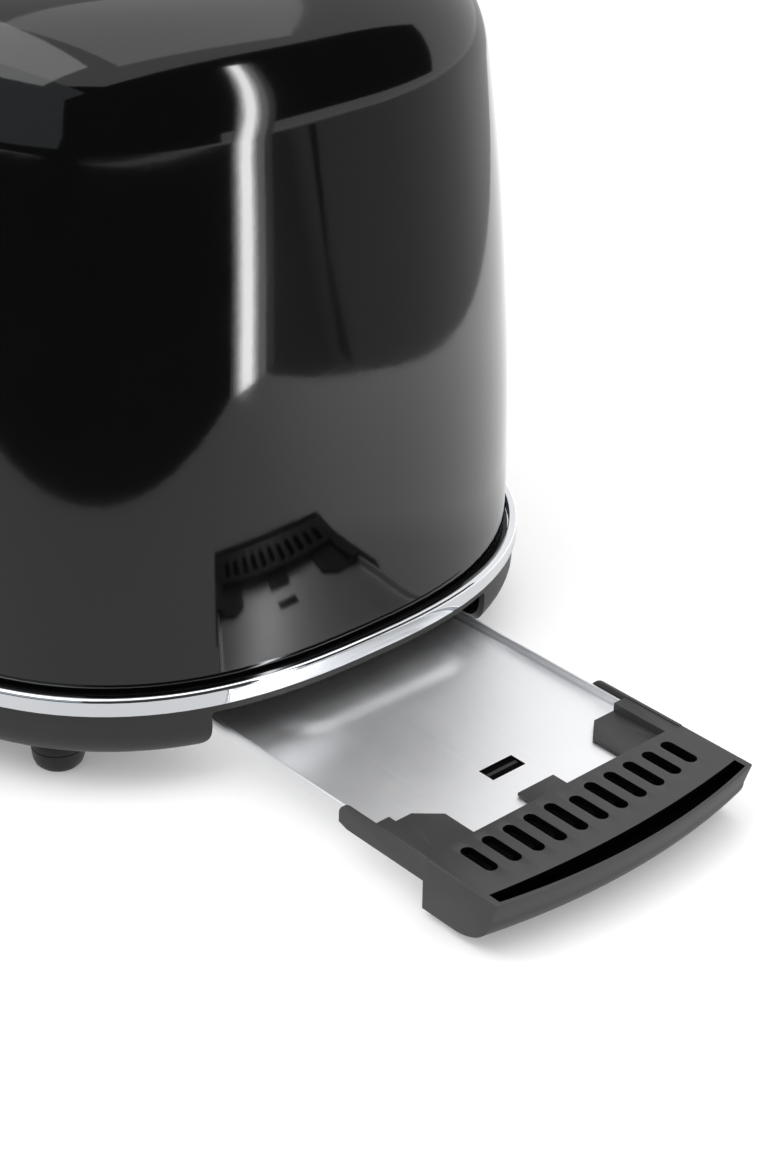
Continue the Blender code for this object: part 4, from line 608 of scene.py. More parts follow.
def shoulder_point(angle, thickness=0.0):
    centre_inset = lean_inset(SHOULDER_Z) + SHOULDER_RADIUS * cos(SHOULDER_START)
    centre_z = SHOULDER_Z - SHOULDER_RADIUS * sin(SHOULDER_START)
    radius = SHOULDER_RADIUS - thickness
    return centre_inset - radius * cos(angle), centre_z + radius * sin(angle)


SEAT_INSET, SEAT_RIM = shoulder_point(SHOULDER_END)
PANEL_BOTTOM = SEAT_RIM - SHEET_STEP + GAP
PANEL_TOP = PANEL_BOTTOM + 0.0014


def end_x(y, z):
    """The X of the shell's outer face at the lever end, in the body's own frame."""
    inset = lean_inset(z)
    cap = CAP_LENGTH - inset
    across = min(abs(y) / (HALF_WIDTH - inset), 1)
    return -(HALF_LENGTH - CAP_LENGTH) - cap * (1 - across**CROSS) ** (1 / LONG)


def make_shell():
    hem = 0.0006
    section = [(SHELL_INSET + hem, SHELL_BOTTOM)]
    section += [(SHELL_INSET + hem - hem * sin(a), SHELL_BOTTOM + hem - hem * cos(a))
                 for a in (0.4, 0.8, 1.2, 1.57)]
    zs = [0.033, 0.038] + [LEAN_START + (SHOULDER_Z - LEAN_START) * i / 26 for i in range(26)]
    section += [(lean_inset(z), z) for z in zs]
    sweep = SHOULDER_END - SHOULDER_START
    section += [shoulder_point(SHOULDER_START + sweep * i / 28) for i in range(29)]
    seat_z = SEAT_RIM - SHEET_STEP
    seat = SEAT_INSET + GAP
    section += [(seat, SEAT_RIM), (seat, seat_z), (seat + 0.005, seat_z), (seat + 0.005, seat_z - 0.001)]
    section += [(seat - 0.001, seat_z - 0.001)]
    section += [shoulder_point(SHOULDER_START + sweep * i / 28, 0.001) for i in range(24, -1, -4)]
    section += [(lean_inset(z) + 0.001, z) for z in zs[::-4]]
    section += [(SHELL_INSET + 0.001, SHELL_BOTTOM + 0.002), (SHELL_INSET + 0.001, SHELL_BOTTOM)]
    shell = wrapped("shell_paint", section, PAINT, 60)
    window = prism("window", [rounded(0.0546, 0.1266, 0.0123, 14, (0, PANEL_Z))], -0.19, -0.12, "YZ")
    boolean(shell, [window])
    place(smooth(shell), ROOM, "black_gloss_paint", "outer_shell")


def make_ring():
    low, top, edge = 0.024, 0.029, 0.0012
    section = [(0.0002, low), (0, low + 0.0003)]
    section += arc((edge, top - edge), edge, pi, pi / 2, 9)
    section += [(0.0019, top), (0.00212, top - 0.00008), (0.0022, top - 0.0003), (0.0022, 0.0252)]
    section += [(0.007, 0.0252), (0.007, low)]
    ring = wrapped("ring_chrome", section, CHROME, 60)
    place(smooth(ring, 50), ROOM, "polished_chrome", "chrome_ring")
    section = [(0.0025, 0.0255), (0.0025, 0.0262), (0.0035, 0.0263),
                (0.0036, 0.0282), (0.0089, 0.0282), (0.0089, 0.0255)]
    collar = wrapped("collar_moulding", section, BLACK, 60)
    place(smooth(collar), ROOM, "black_plastic", "base_collar")


def make_skirt():
    wall, radius, bottom, top = 0.0018, 0.0085, 0.009, 0.0237
    centre = (0.001 + radius, bottom + radius)
    flange = centre[0] + 0.0185
    section = [(0.0012, top), (0.001, top - 0.0002)]
    section += arc(centre, radius, pi, 1.5 * pi, 12)
    section += [(flange - 0.0003, bottom), (flange, bottom + 0.0003), (flange, bottom + wall)]
    section += arc(centre, radius - wall, 1.5 * pi, pi, 9)
    section += [(0.001 + wall, top)]
    skirt = wrapped("skirt_moulding", section, BASE_MOULDING, 60)
    half, lintel, flare = 0.0472, 0.0217, 0.005
    right = [(half - 0.0012, lintel)] + arc((half - 0.0012, lintel - 0.0012), 0.0012, pi / 2, 0, 4)[1:]
    right += arc((half + flare, bottom + flare), flare, pi, 1.5 * pi, 10)
    right.append((half + flare, 0.007))
    left = [(-y, z) for y, z in reversed(right)]
    door = prism("door", [right + left], 0.090, 0.154, "YZ")
    holes = [door]
    for x, y in mirrored(FEET):
        holes.append(hole_z("foot_hole", 0.0029, x, y))
    for x, y in mirrored(BASE_SCREWS):
        holes.append(hole_z("screw_hole", 0.0018, x, y))
    profile = [(0, 0.1580), (0.0043, 0.1580), (0.0043, 0.146), (0, 0.146)]
    holes.append(lathe("gland_hole", profile, None, (BODY_X, 0, CORD_Z), True, 32))
    boolean(skirt, holes)
    place(smooth(skirt), ROOM, "charcoal_plastic", "base_skirt")


def mirrored(corner):
    """Front left, front right, rear left and rear right of four places about the body's middle."""
    x, y = corner
    return (x, y), (x, -y), (-x, y), (-x, -y)


def hole_z(name, radius, x, y):
    profile = [(0, 0.015), (radius, 0.015), (radius, 0.006), (0, 0.006)]
    return lathe(name, profile, None, (x + BODY_X, y, 0), steps=24)


def make_top():
    """Brushed plate and two polished, rolled rims round the bread slots."""
    slots = [rounded(0.1532, 0.0372, 0.0076, 10, (0, y)) for y in (SLOT_Y, -SLOT_Y)]
    inset = SEAT_INSET + 2 * GAP
    plate = prism("plate_brushed", [outline(inset, 60)] + slots, PANEL_BOTTOM, PANEL_TOP, "XY", TOP_STEEL)
    softened(plate, 0.0003, 2, 60)
    place(smooth(plate), ROOM, "sheet_steel", "top_panel")
    for side, y in (("left", SLOT_Y), ("right", -SLOT_Y)):
        section = [(0.0, 0.1855), (0.0, 0.1990)]
        section += [(0.0008 - 0.0008 * cos(a), 0.1992 + 0.0008 * sin(a))
                     for a in (0.3, 0.7, 1.1, pi / 2, 2.0, 2.4, 2.8)]
        section += [(0.0016, 0.1990), (0.0016, PANEL_TOP + 0.0010)]
        section += [(0.0016 + 0.0009 * (1 - cos(a)), PANEL_TOP + 0.0010 - 0.0009 * sin(a))
                     for a in (0.5, 1.0, 1.4)]
        section += [(0.0030, PANEL_TOP + 0.00005), (0.0032, PANEL_TOP - 0.0001),
                     (0.0012, PANEL_TOP - 0.0002), (0.0010, 0.1855)]
        builder = bmesh.new()
        loops = []
        for out, z in section:
            points = rounded(0.150 + 2 * out, 0.034 + 2 * out, 0.006 + out, 10, (0, y))
            loops.append([builder.verts.new((px, py, z)) for px, py in points])
        bridged(builder, loops, closed=True)
        rim = object_of("slot_rim_" + side, builder, CHROME)
        place(smooth(rim, 40), ROOM, "polished_chrome")


def make_feet():
    profile = [(0, 0.0145), (0.0016, 0.0144), (0.0024, 0.0138),
                (0.0034, 0.0123), (0.0034, 0.0111), (0.0026, 0.0110)]
    profile += [(0.0026, 0.0088), (0.0067, 0.0087), (0.0070, 0.0084), (0.0072, 0.0078), (0.0071, 0.0060)]
    profile += [(0.0069, 0.0058), (0.0069, 0.0055), (0.00706, 0.0053), (0.0069, 0.0032), (0.0066, 0.0018)]
    profile += [(0.0062, 0.0008), (0.0055, 0.0001), (0.0051, 0.0), (0.0046, 0.0),
                 (0.0044, 0.0005), (0.0036, 0.0005), (0.0034, 0.0), (0, 0.0)]
    for name, (x, y) in zip(("front_left", "front_right", "rear_left", "rear_right"), mirrored(FEET)):
        foot = lathe("rubber_foot_" + name, profile, RUBBER, (x + BODY_X, y, 0), steps=40)
        place(foot, ROOM, "foot_rubber", "foot_" + name)


def make_gland():
    face = 0.1513
    profile = [(0.0030, face + 0.0030), (0.0036, face + 0.0030),
                (0.0046, face + 0.0028), (0.0052, face + 0.0022)]
    profile += [(0.0054, face + 0.0014), (0.0054, face), (0.0040, face),
                 (0.0040, face - 0.0046), (0.0048, face - 0.0046)]
    profile += [(0.0048, face - 0.0066), (0.0030, face - 0.0066)]
    gland = lathe("gland_bush", profile, RUBBER, (BODY_X, 0, CORD_Z), True, 40)
    place(gland, ROOM, "foot_rubber", "cord_gland")


def make_screws():
    """Pan-head screws with a cross recess, driven up from below."""
    jobs = []
    for kind, places, under in (("chassis", CHASSIS_SCREWS, 0.0108), ("base", BASE_SCREWS, 0.0087)):
        for index, (x, y) in enumerate(mirrored(places)):
            jobs.append((f"{kind}_screw_{index + 1}", x, y, under))
    for node, x, y, under in jobs:
        profile = [(0, under + 0.0058), (0.0007, under + 0.0056), (0.0014, under + 0.0046)]
        for turn in range(9):
            z = under + 0.0044 - turn * 0.00048
            profile += [(0.0015, z), (0.00128, z - 0.00024)]
        profile += [(0.0014, under), (0.0028, under), (0.0029, under - 0.0003), (0.0028, under - 0.0008)]
        profile += [(0.0024, under - 0.0012), (0.0017, under - 0.0015),
                     (0.0009, under - 0.0016), (0, under - 0.0016)]
        screw = lathe("visible_" + node, profile, SHEET, (x + BODY_X, y, 0), steps=28)
        bars = []
        for size in ((0.0014, 0.00035), (0.00035, 0.0014)):
            low = (x - size[0], y - size[1], under - 0.0030)
            high = (x + size[0], y + size[1], under - 0.0006)
            bars.append(strip_box("recess", low, high))
        boolean(screw, bars)
        place(smooth(screw), ROOM, "sheet_steel", node)


# ---------------------------------------------------------------- controls
def on_panel(y, z, lift=0.0):
    return end_x(y, z) - PANEL_LIFT - lift


def make_control_panel():
    columns, rows = 44, 80
    width, low, high = 0.060, 0.032, 0.164
    builder = bmesh.new()
    grid = []
    for row in range(rows + 1):
        z = low + (high - low) * row / rows
        line = []
        for column in range(columns + 1):
            y = width * (column / columns - 0.5)
            line.append(builder.verts.new((on_panel(y, z), y, z)))
        grid.append(line)
    for row in range(rows):
        for column in range(columns):
            a, b = grid[row], grid[row + 1]
            builder.faces.new((a[column], b[column], b[column + 1], a[column + 1]))
    panel = object_of("control_face", builder, BLACK)
    thicken = panel.modifiers.new("thickness", "SOLIDIFY")
    thicken.thickness = 0.003
    thicken.offset = -1
    applied(panel)
    limit = prism("limit", [rounded(0.054, 0.126, 0.012, 14, (0, PANEL_Z))], -0.20, -0.12, "YZ")
    boolean(panel, [limit], "INTERSECT")
    slot = prism("slot", [rounded(0.006, 0.066, 0.0012, 5, (0, 0.1195))], -0.18, -0.12, "YZ")
    cutters = [slot]
    holes = [(0, KNOB_Z, 0.0036)] + [(y, BUTTON_Z, 0.0051) for y in (BUTTON_PITCH, 0, -BUTTON_PITCH)]
    for y, z, radius in holes:
        profile = [(0, 0.18), (radius, 0.18), (radius, 0.12), (0, 0.12)]
        cutters.append(lathe("hole", profile, None, (BODY_X, y, z), True, 36))
    boolean(panel, cutters)
    softened(panel, 0.0004, 2, 50)
    place(smooth(panel), ROOM, "charcoal_plastic", "control_panel")


def draped(name, obj_list, lift):
    """Flat marks laid on the control panel: each point's X follows its face."""
    piece = joined(name, obj_list)
    for vertex in piece.data.vertices:
        x, y, z = vertex.co
        vertex.co = (BODY_X + on_panel(y, z, lift) - (x - BODY_X), y, z)
    return piece


def make_marks():
    """Tick marks and browning numbers round the knob, and a level mark beside the lever slot."""
    marks = []
    for step in range(6):
        angle = radians(225 - 54 * step)
        inner, outer = 0.0166, 0.0182
        direction = Vector((cos(angle), sin(angle)))
        side = Vector((-direction.y, direction.x)) * 0.00028
        builder = bmesh.new()
        near, far = direction * inner, direction * outer
        corners = [near - side, far - side, far + side, near + side]
        front = [builder.verts.new((0, -c.x, c.y + KNOB_Z)) for c in corners]
        back = [builder.verts.new((-0.0001, -c.x, c.y + KNOB_Z)) for c in corners]
        bridged(builder, [front, back], capped=True)
        marks.append(object_of(f"tick_{step}", builder, PRINT))
        words = bpy.data.curves.new(f"number_{step + 1}", "FONT")
        words.body = str(step + 1)
        words.size = 0.0038
        words.extrude = 0.00005
        words.align_x = "CENTER"
        words.align_y = "CENTER"
        builder = surface_of(words)
        where = direction * 0.0212
        for vertex in builder.verts:
            x, y, z = vertex.co
            vertex.co = (-z - 0.00005, -(x + where.x), y + where.y + KNOB_Z)
        bmesh.ops.recalc_face_normals(builder, faces=builder.faces)
        marks.append(object_of(f"digit_{step + 1}", builder, PRINT))
    for z in (0.0925, 0.1475):
        marks.append(strip_box("level_mark", (-0.0001, 0.0052, z - 0.0003), (0, 0.0082, z + 0.0003), PRINT))
    piece = draped("dial_marks", marks, 0.00002)
    place(piece, ROOM, "polished_chrome")


def make_knob():
    face = end_x(0, KNOB_Z) - PANEL_LIFT
    low, high = 0.0008, 0.0138
    profile = [(0.0033, low), (0.0147, low), (0.0150, low + 0.0003),
                (0.0150, low + 0.0027), (0.0147, low + 0.0031)]
    profile += [(0.0137, low + 0.0036), (0.0135, low + 0.0042)]
    grip_start = len(profile)
    profile += [(0.0135, low + 0.0046), (0.01335, low + 0.0070), (0.0132, high - 0.0020)]
    grip_end = len(profile)
    profile += [(0.0131, high - 0.0014), (0.0127, high - 0.0007), (0.0121, high - 0.0002), (0.0113, high)]
    profile += [(0.0106, high), (0.0103, high - 0.0004), (0.0100, high - 0.0005), (0.0, high - 0.0002)]
    profile = [(0.0033, high - 0.0040)] + profile
    profile.insert(0, (0, high - 0.0040))

    def flutes(index, angle):
        inside = grip_start + 2 <= index < grip_end + 2
        return 0.00030 * (0.5 - 0.5 * cos(36 * angle)) if inside else 0

    knob = lathe("knob_grip", profile, CHARCOAL, (BODY_X + face, 0, KNOB_Z), True, 288, flutes)
    tip = face - high
    pointer = strip_box("pointer", (tip - 0.0001, -0.0006, 0.0705), (tip + 0.0009, 0.0006, 0.0795), PRINT)
    softened(pointer, 0.0002, 2)
    place(knob, "browning_dial", "charcoal_plastic", "browning_knob")
    place(pointer, "browning_dial", "polished_chrome")


def make_buttons():
    for name, y in (("cancel", BUTTON_PITCH), ("reheat", 0.0), ("defrost", -BUTTON_PITCH)):
        face = end_x(y, BUTTON_Z) - PANEL_LIFT
        top = 0.0030
        inner = -0.0042
        profile = [(0, top - 0.0003), (0.0012, top - 0.0002), (0.0024, top + 0.0002), (0.0031, top + 0.0005)]
        profile += [(0.0036, top + 0.0004), (0.0041, top), (0.0044, top - 0.0006),
                     (0.0045, top - 0.0012), (0.0045, inner)]
        profile += [(0.0058, inner), (0.0058, inner - 0.0012), (0.0018, inner - 0.0012),
                     (0.0018, inner - 0.0040), (0, inner - 0.0040)]
        cap = lathe("cap_" + name, profile, CHROME, (BODY_X + face, y, BUTTON_Z), True, 48)
        place(cap, name + "_button", "polished_chrome", "button_" + name)


def make_lever():
    """Thumb pad: a softly squared bar, hollowed across the top, with three grip ridges."""
    low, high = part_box("lever_knob")
    depth = high[0] - low[0]
    centre_z = (low[2] + high[2]) / 2
    half_y = (high[1] - low[1]) / 2
    half_z = (high[2] - low[2]) / 2
    rows, columns = 40, 72
    builder = bmesh.new()
    rings = []
    for row in range(rows + 1):
        t = row / rows
        x = high[0] - depth * t
        edge = min(t, 1 - t) * depth
        radius = 0.0034 if t > 0.5 else 0.0010
        shrink = radius - sqrt(max(0.0, radius**2 - max(0.0, radius - edge) ** 2))
        ring = []
        for i in range(columns):
            angle = 2 * pi * i / columns
            c, s = cos(angle), sin(angle)
            y = (half_y - shrink) * (abs(c) ** 0.42) * (1 if c >= 0 else -1)
            z = (half_z - shrink) * (abs(s) ** 0.55) * (1 if s >= 0 else -1)
            if z > 0:
                dip = 0.0016 * sin(pi * min(1, max(0, (t - 0.08) / 0.84))) ** 2
                ridge = 0.00045 * max(0.0, cos(2 * pi * (t * 7.0))) * (1 if 0.3 < t < 0.75 else 0)
                z -= (dip - ridge) * (z / half_z) * max(0.0, 1 - (abs(y) / half_y) ** 4)
            ring.append(builder.verts.new((x, y, centre_z + z)))
        rings.append(ring)
    bridged(builder, rings, capped=True)
    pad = object_of("thumb_pad", builder, CHROME, (0, 0, 0))
    place(smooth(pad, 60), CARRIAGE, "polished_chrome", "lever_knob")


# ---------------------------------------------------------------- inner works
def make_guides():
    inner, outer_y = 0.010, 0.044
    sides = (("left_inner", inner), ("left_outer", outer_y),
             ("right_inner", -inner), ("right_outer", -outer_y))
    for name, y in sides:
        wires = []
        half, low, high = 0.0742, 0.052, 0.1632
        sign = 1 if y > 0 else -1
        outer = name.endswith("outer")
        lean = sign * (0.0012 if outer else -0.0012)
        corners = [(-0.0862, low), (-half, low), (-half, high), (half, high), (half, low), (0.0862, low)]
        corners = [(x, y, z) for x, z in corners]
        wires.append(rod("frame_" + name, rounded_path(corners, 0.0035), 0.0010, WIRE))
        wires.append(rod("foot_" + name, [(-half, y, low), (half, y, low)], 0.0010, WIRE))
        for i in range(1, 8):
            x = -half + 2 * half * i / 8
            bent = y + lean * 0.4
            path = [(x, y, low), (x, y, low + 0.003), (x, bent, low + 0.006),
                     (x, bent, high - 0.002), (x, y, high)]
            wires.append(rod(f"bar_{name}_{i}", path, 0.0007, WIRE, sides=3))
        for z in (0.085, 0.125):
            wires.append(rod(f"cross_{name}_{z}", [(-half, y, z), (half, y, z)], 0.0007, WIRE, sides=3))
        guide = joined("wire_guide_" + name, wires)
        place(guide, "guide_" + name, "plated_wire", "bread_guide_" + name)


def make_racks():
    """Bent wire racks: a spine that runs through both end plates and hooped tines across it."""
    z = 0.115
    for side, y in (("left", SLOT_Y), ("right", -SLOT_Y)):
        wires = [rod("spine_" + side, [(-0.0877, y, z - 0.0001), (0.088, y, z - 0.0001)], 0.0011, WIRE)]
        for i in range(7):
            x = 0.126 * (i / 6 - 0.5)
            corners = [(x - 0.0012, y - 0.0067, z + 0.0004), (x - 0.0012, y + 0.0062, z + 0.0004)]
            corners += [(x + 0.0012, y + 0.0067, z + 0.0004), (x + 0.0012, y - 0.0062, z + 0.0004)]
            wires.append(rod(f"tine_{side}_{i}", rounded_path(corners, 0.0008, 4), 0.0006, WIRE, sides=3))
        rack = joined("wire_rack_" + side, wires)
        place(rack, CARRIAGE, "plated_wire", "bread_rack_" + side)


# ---------------------------------------------------------------- crumb tray
PAN_BOTTOM = 0.0123
PAN_FLOOR_TOP = 0.0130
PAN_TOP = 0.0155
CAP_TOP = 0.0165
ARM_TOP = 0.0168
HANDLE_TOP = 0.0166
HANDLE_BACK = -0.0292
TAB_LOW = 0.0133
TAB_HIGH = 0.0142
TRAY_AT = (TRAY_X, 0, 0)


def at_tray(name, builder, material):
    return object_of(name, builder, material, TRAY_AT)


def wall_profile(half, top, inner_floor):
    """(offset, z) pairs of a folded wall from its outer foot over the hem to the floor."""
    points = [(half, PAN_BOTTOM + 0.0004), (half, top - 0.00035), (half - 0.00012, top - 0.00012)]
    points += [(half - 0.00035, top), (half - 0.00065, top),
                (half - 0.00088, top - 0.00012), (half - 0.0010, top - 0.00035)]
    points += [(half - 0.0010, inner_floor + 0.0008)]
    for i in range(1, 6):
        angle = pi / 2 * i / 5
        points.append((half - 0.0010 - 0.0008 * (1 - cos(angle)), inner_floor + 0.0008 - 0.0008 * sin(angle)))
    return points


def make_pan():
    """Folded sheet pan: hemmed side and back walls, a raised pressing and a small lanced window, with painted
    shade in and under the window.
    """
    half, top = 0.0428, PAN_TOP
    front, back = HANDLE_BACK - GAP, HANDLE_BACK - GAP - 0.200
    side = wall_profile(half, top, PAN_FLOOR_TOP)
    inner = side[-1][0]
    ys = list(side)
    count = 66
    for i in range(1, count):
        ys.append((inner - 2 * inner * i / count, PAN_FLOOR_TOP))
    ys += [(-offset, z) for offset, z in reversed(side)]
    rear = wall_profile(0.0, top, PAN_FLOOR_TOP)
    xs = [(back - offset, z) for offset, z in rear]
    start = xs[-1][0]
    count = 150
    xs += [(start + (front - start) * i / count, PAN_FLOOR_TOP) for i in range(1, count + 1)]
    press_low, press_high, press_half, press_radius = back + 0.012, -0.0886, 0.030, 0.011
    press_x, press_reach = (press_low + press_high) / 2, (press_high - press_low) / 2

    def pressing(x, y):
        dx = abs(x - press_x) - (press_reach - press_radius)
        dy = abs(y) - (press_half - press_radius)
        outside = sqrt(max(dx, 0) ** 2 + max(dy, 0) ** 2) + min(max(dx, dy), 0) - press_radius
        t = min(1, max(0, (0.0014 - outside) / 0.0066))
        return 0.0007 * t * t * (3 - 2 * t)

    builder = bmesh.new()
    grid = []
    for x, zx in xs:
        line = []
        for y, zy in ys:
            z = max(zx, zy, PAN_FLOOR_TOP)
            if zx <= PAN_FLOOR_TOP and zy <= PAN_FLOOR_TOP:
                z += pressing(x, y)
            line.append(builder.verts.new((x, y, z)))
        grid.append(line)
    for a, b in zip(grid, grid[1:]):
        for j in range(len(ys) - 1):
            builder.faces.new((a[j], b[j], b[j + 1], a[j + 1]))
    rim = [line[0] for line in grid] + grid[-1][1:-1]
    rim += [line[-1] for line in reversed(grid)] + grid[0][-2:0:-1]
    under = [builder.verts.new((v.co.x, v.co.y, PAN_BOTTOM)) for v in rim]
    for i in range(len(rim)):
        j = (i + 1) % len(rim)
        builder.faces.new((rim[i], rim[j], under[j], under[i]))
    builder.faces.new(under)
    bmesh.ops.recalc_face_normals(builder, faces=builder.faces)
    pan = at_tray("pan_folded", builder, PAN_STEEL)
    # The window's cut walls take SHADOW: painted shade.
    window = strip_box("window", (-0.0506, -0.0056, 0.010), (-0.0454, 0.0056, 0.016), SHADOW, TRAY_AT)
    boolean(pan, [window])
    place(smooth(pan, 40), TRAY, "brushed_tray", "crumb_tray_pan")
    # Painted shade: the steel lance is coloured near-black instead of the pan's steel, because it lies in
    # shade.
    lance = strip_box("pan_lance", (-0.0489, -0.0054, 0.0117), (-0.0478, 0.0054, 0.0125), BLACK, TRAY_AT)
    softened(lance, 0.0001)
    place(lance, TRAY, "brushed_tray")
    # Painted shade: a near-black plate under the window, which is open in the CAD, so that the window reads
    # dark.
    low, high = (-0.0520, -0.0070, PAN_BOTTOM - 0.0006), (-0.0440, 0.0070, PAN_BOTTOM + 0.0001)
    window_shade_plate = strip_box("pan_window_painted_shade", low, high, SHADOW, TRAY_AT)
    place(window_shade_plate, TRAY, "brushed_tray")


def front_arc(y):
    return 0.196 - sqrt(0.196**2 - y * y)


def lofted(name, sections, material=None):
    builder = bmesh.new()
    loops = [[builder.verts.new(point) for point in section] for section in sections]
    bridged(builder, loops, capped=True)
    return at_tray(name, builder, material)


def handle_profile():
    """(setback, z) from the top edge down the leaning lip and round the nose."""
    points = [(0.00045, HANDLE_TOP), (0.00012, HANDLE_TOP - 0.00012), (0.00010, HANDLE_TOP - 0.00045)]
    points += [(0.0010, 0.01345), (0.0018, 0.0109), (0.0020, 0.0103)]
    for i in range(1, 17):
        angle = pi / 2 * i / 16
        points.append((0.0138 - 0.0118 * cos(angle), 0.0103 - 0.0080 * sin(angle)))
    return points


def make_handle():
    stations = 72
    sections = []
    for i in range(stations + 1):
        y = 0.088 * (i / stations - 0.5)
        section = [(-front_arc(y) - setback, y, z) for setback, z in handle_profile()]
        section += [(HANDLE_BACK, y, 0.0023), (HANDLE_BACK, y, HANDLE_TOP)]
        sections.append(section)
    handle = lofted("handle_moulding", sections, CHARCOAL)
    half = 0.042
    roof = HANDLE_TOP - 0.0020
    step = (0.0103 + 0.0023) / 2 + 0.001
    inner_back = HANDLE_BACK + 0.0018
    upper_front = -0.0144 - front_arc(half) + 0.0008
    lower_front = -0.0138 - front_arc(half) - 0.0020
    # The cutters pass SHADOW onto the walls they cut, so the hollow, mouth, vents and groove of the charcoal
    # handle get painted shade.
    cutters = [
        strip_box("hollow", (inner_back, -half, step), (upper_front, half, roof), SHADOW, TRAY_AT),
        strip_box("mouth", (inner_back, -half, 0.0), (lower_front, half, step + 0.001), SHADOW, TRAY_AT),
    ]
    for i in range(11):
        y = 0.00687 * (i - 5)
        back = -(0.0227 if i == 5 else 0.0244)
        front = -0.0144 - y * y / (2 * 0.235)
        loop = arc((front, y), 0.0018, -pi / 2, pi / 2, 12) + arc((back, y), 0.0018, pi / 2, 1.5 * pi, 12)
        low, high = HANDLE_TOP - 0.0028, HANDLE_TOP + 0.002
        cutters.append(prism(f"vent_{i}", [loop], low, high, "XY", SHADOW, TRAY_AT))
    over = 0.001
    groove = []
    for i in range(61):
        y = 0.0422 * (2 * i / 60 - 1)
        front = -0.0008 - y * y / (2 * 0.181)
        back = -0.0061 - y * y / (2 * 0.285)
        lean = 0.0020 / 0.0055 * over
        floor_z = HANDLE_TOP - 0.0055
        groove.append(
            [
                (front + lean, y, HANDLE_TOP + over),
                (front - 0.0020, y, floor_z),
                (back - 0.0020, y, floor_z),
                (back + lean, y, HANDLE_TOP + over),
            ]
        )
    cutters.append(lofted("groove", groove, SHADOW))
    boolean(handle, cutters)
    wings, slots = [], []
    for side, sign in (("left", 1), ("right", -1)):
        more, slot = wing(side, sign)
        wings += more
        slots.append(slot)
    low, high = (HANDLE_BACK - 0.0072, -0.0061, TAB_LOW), (HANDLE_BACK + 0.0009, 0.0061, TAB_HIGH)
    centre = strip_box("centre_tab", low, high, None, TRAY_AT)
    boolean(handle, wings + [centre], "UNION")
    boolean(handle, slots)
    softened(handle, 0.00028, 2, 48)
    place(smooth(handle, 45), TRAY, "charcoal_plastic", "crumb_tray_handle")


def wing(side, sign):
    """Outer arm, cap over the pan's wall and tab on its floor, and the slot that clears the wall."""
    front, back, low, top = HANDLE_BACK + 0.0009, HANDLE_BACK - 0.0299, 0.0102, ARM_TOP
    loop = [(front, low), (front, top)]
    loop += arc((back + 0.0035, top - 0.0035), 0.0035, pi / 2, pi, 12)
    loop += [(back, low + 0.0009), (back + 0.0030, low)]
    ys = sorted((sign * 0.0431, sign * 0.0440))
    arm = prism("arm_" + side, [loop], ys[0], ys[1], "XZ", None, TRAY_AT)
    cap_back = HANDLE_BACK - 0.0177
    ys = sorted((sign * 0.0388, sign * 0.04355))
    cap = strip_box("cap_" + side, (cap_back, ys[0], TAB_LOW), (front, ys[1], CAP_TOP), None, TRAY_AT)
    loop = [(cap_back, 0.0396), (front, 0.0396), (front, 0.0255),
             (cap_back + 0.0054, 0.0255), (cap_back, 0.0316)]
    tab = prism("tab_" + side, [[(x, sign * y) for x, y in loop]], TAB_LOW, TAB_HIGH, "XY", None, TRAY_AT)
    ys = sorted((sign * 0.0415, sign * 0.0431))
    low, high = (cap_back - 0.001, ys[0], PAN_BOTTOM), (HANDLE_BACK, ys[1], PAN_TOP + GAP)
    slot = strip_box("slot_" + side, low, high, None, TRAY_AT)
    return [arm, cap, tab], slot


# ---------------------------------------------------------------- carried-over CAD nodes
def dress_nodes():
    looks = {
        SHEET: ["bottom_plate", "chassis_plate_front", "chassis_plate_rear"],
        REFLECTOR: ["reflector_left", "reflector_right"],
        WIRE: ["guide_rod", "return_spring", "dial_shaft"],
        MICA: ["element_board_left", "element_board_centre", "element_board_right"],
        HOT_WIRE: ["winding_left_outer", "winding_left_inner", "winding_right_inner", "winding_right_outer"],
        COPPER: ["magnet_coil"],
        GREEN: ["circuit_board"],
        BLACK: ["terminal_block", "switch_cancel", "switch_reheat", "switch_defrost"],
    }
    looks[SHEET] += ["tray_rail_left", "tray_rail_right"]
    looks[SHEET] += ["carriage_bracket", "armature_plate", "lever_arm", "magnet_core", "potentiometer"]
    for material, names in looks.items():
        for name in names:
            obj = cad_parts[name]
            for material_slot in obj.material_slots:
                material_slot.material = material


# ---------------------------------------------------------------- floor, light and camera
def glossy_only(obj):
    """Seen only in reflections."""
    obj.visible_camera = False
    obj.visible_diffuse = False
    obj.visible_transmission = False
    obj.visible_shadow = False
    obj.visible_volume_scatter = False


def emitter(name, colour, strength):
    material = bpy.data.materials.new(name)
    material.use_nodes = True
    tree = material.node_tree
    tree.nodes.clear()
    out = tree.nodes.new("ShaderNodeOutputMaterial")
    emission = tree.nodes.new("ShaderNodeEmission")
    emission.inputs["Color"].default_value = (*colour, 1)
    emission.inputs["Strength"].default_value = strength
    tree.links.new(emission.outputs["Emission"], out.inputs["Surface"])
    return material


def sheet(name, corners, material):
    builder = bmesh.new()
    builder.faces.new([builder.verts.new(c) for c in corners])
    return object_of(name, builder, material, (0, 0, 0))


def flat(name, places, height, material):
    return sheet(name, [(x, y, height) for x, y in places], material)


def glow(name, stops, coordinate):
    """A light whose strength follows a ramp: stops are (position, strength) over the coordinate."""
    material = emitter(name, (1, 1, 1), 1.0)
    tree = material.node_tree
    value = coordinate(tree)
    peak = max(strength for _, strength in stops)
    shades = [(position, (strength / peak,) * 3) for position, strength in stops]
    tree.links.new(ramp(tree, value, shades), tree.nodes["Emission"].inputs["Color"])
    tree.nodes["Emission"].inputs["Strength"].default_value = peak
    return material


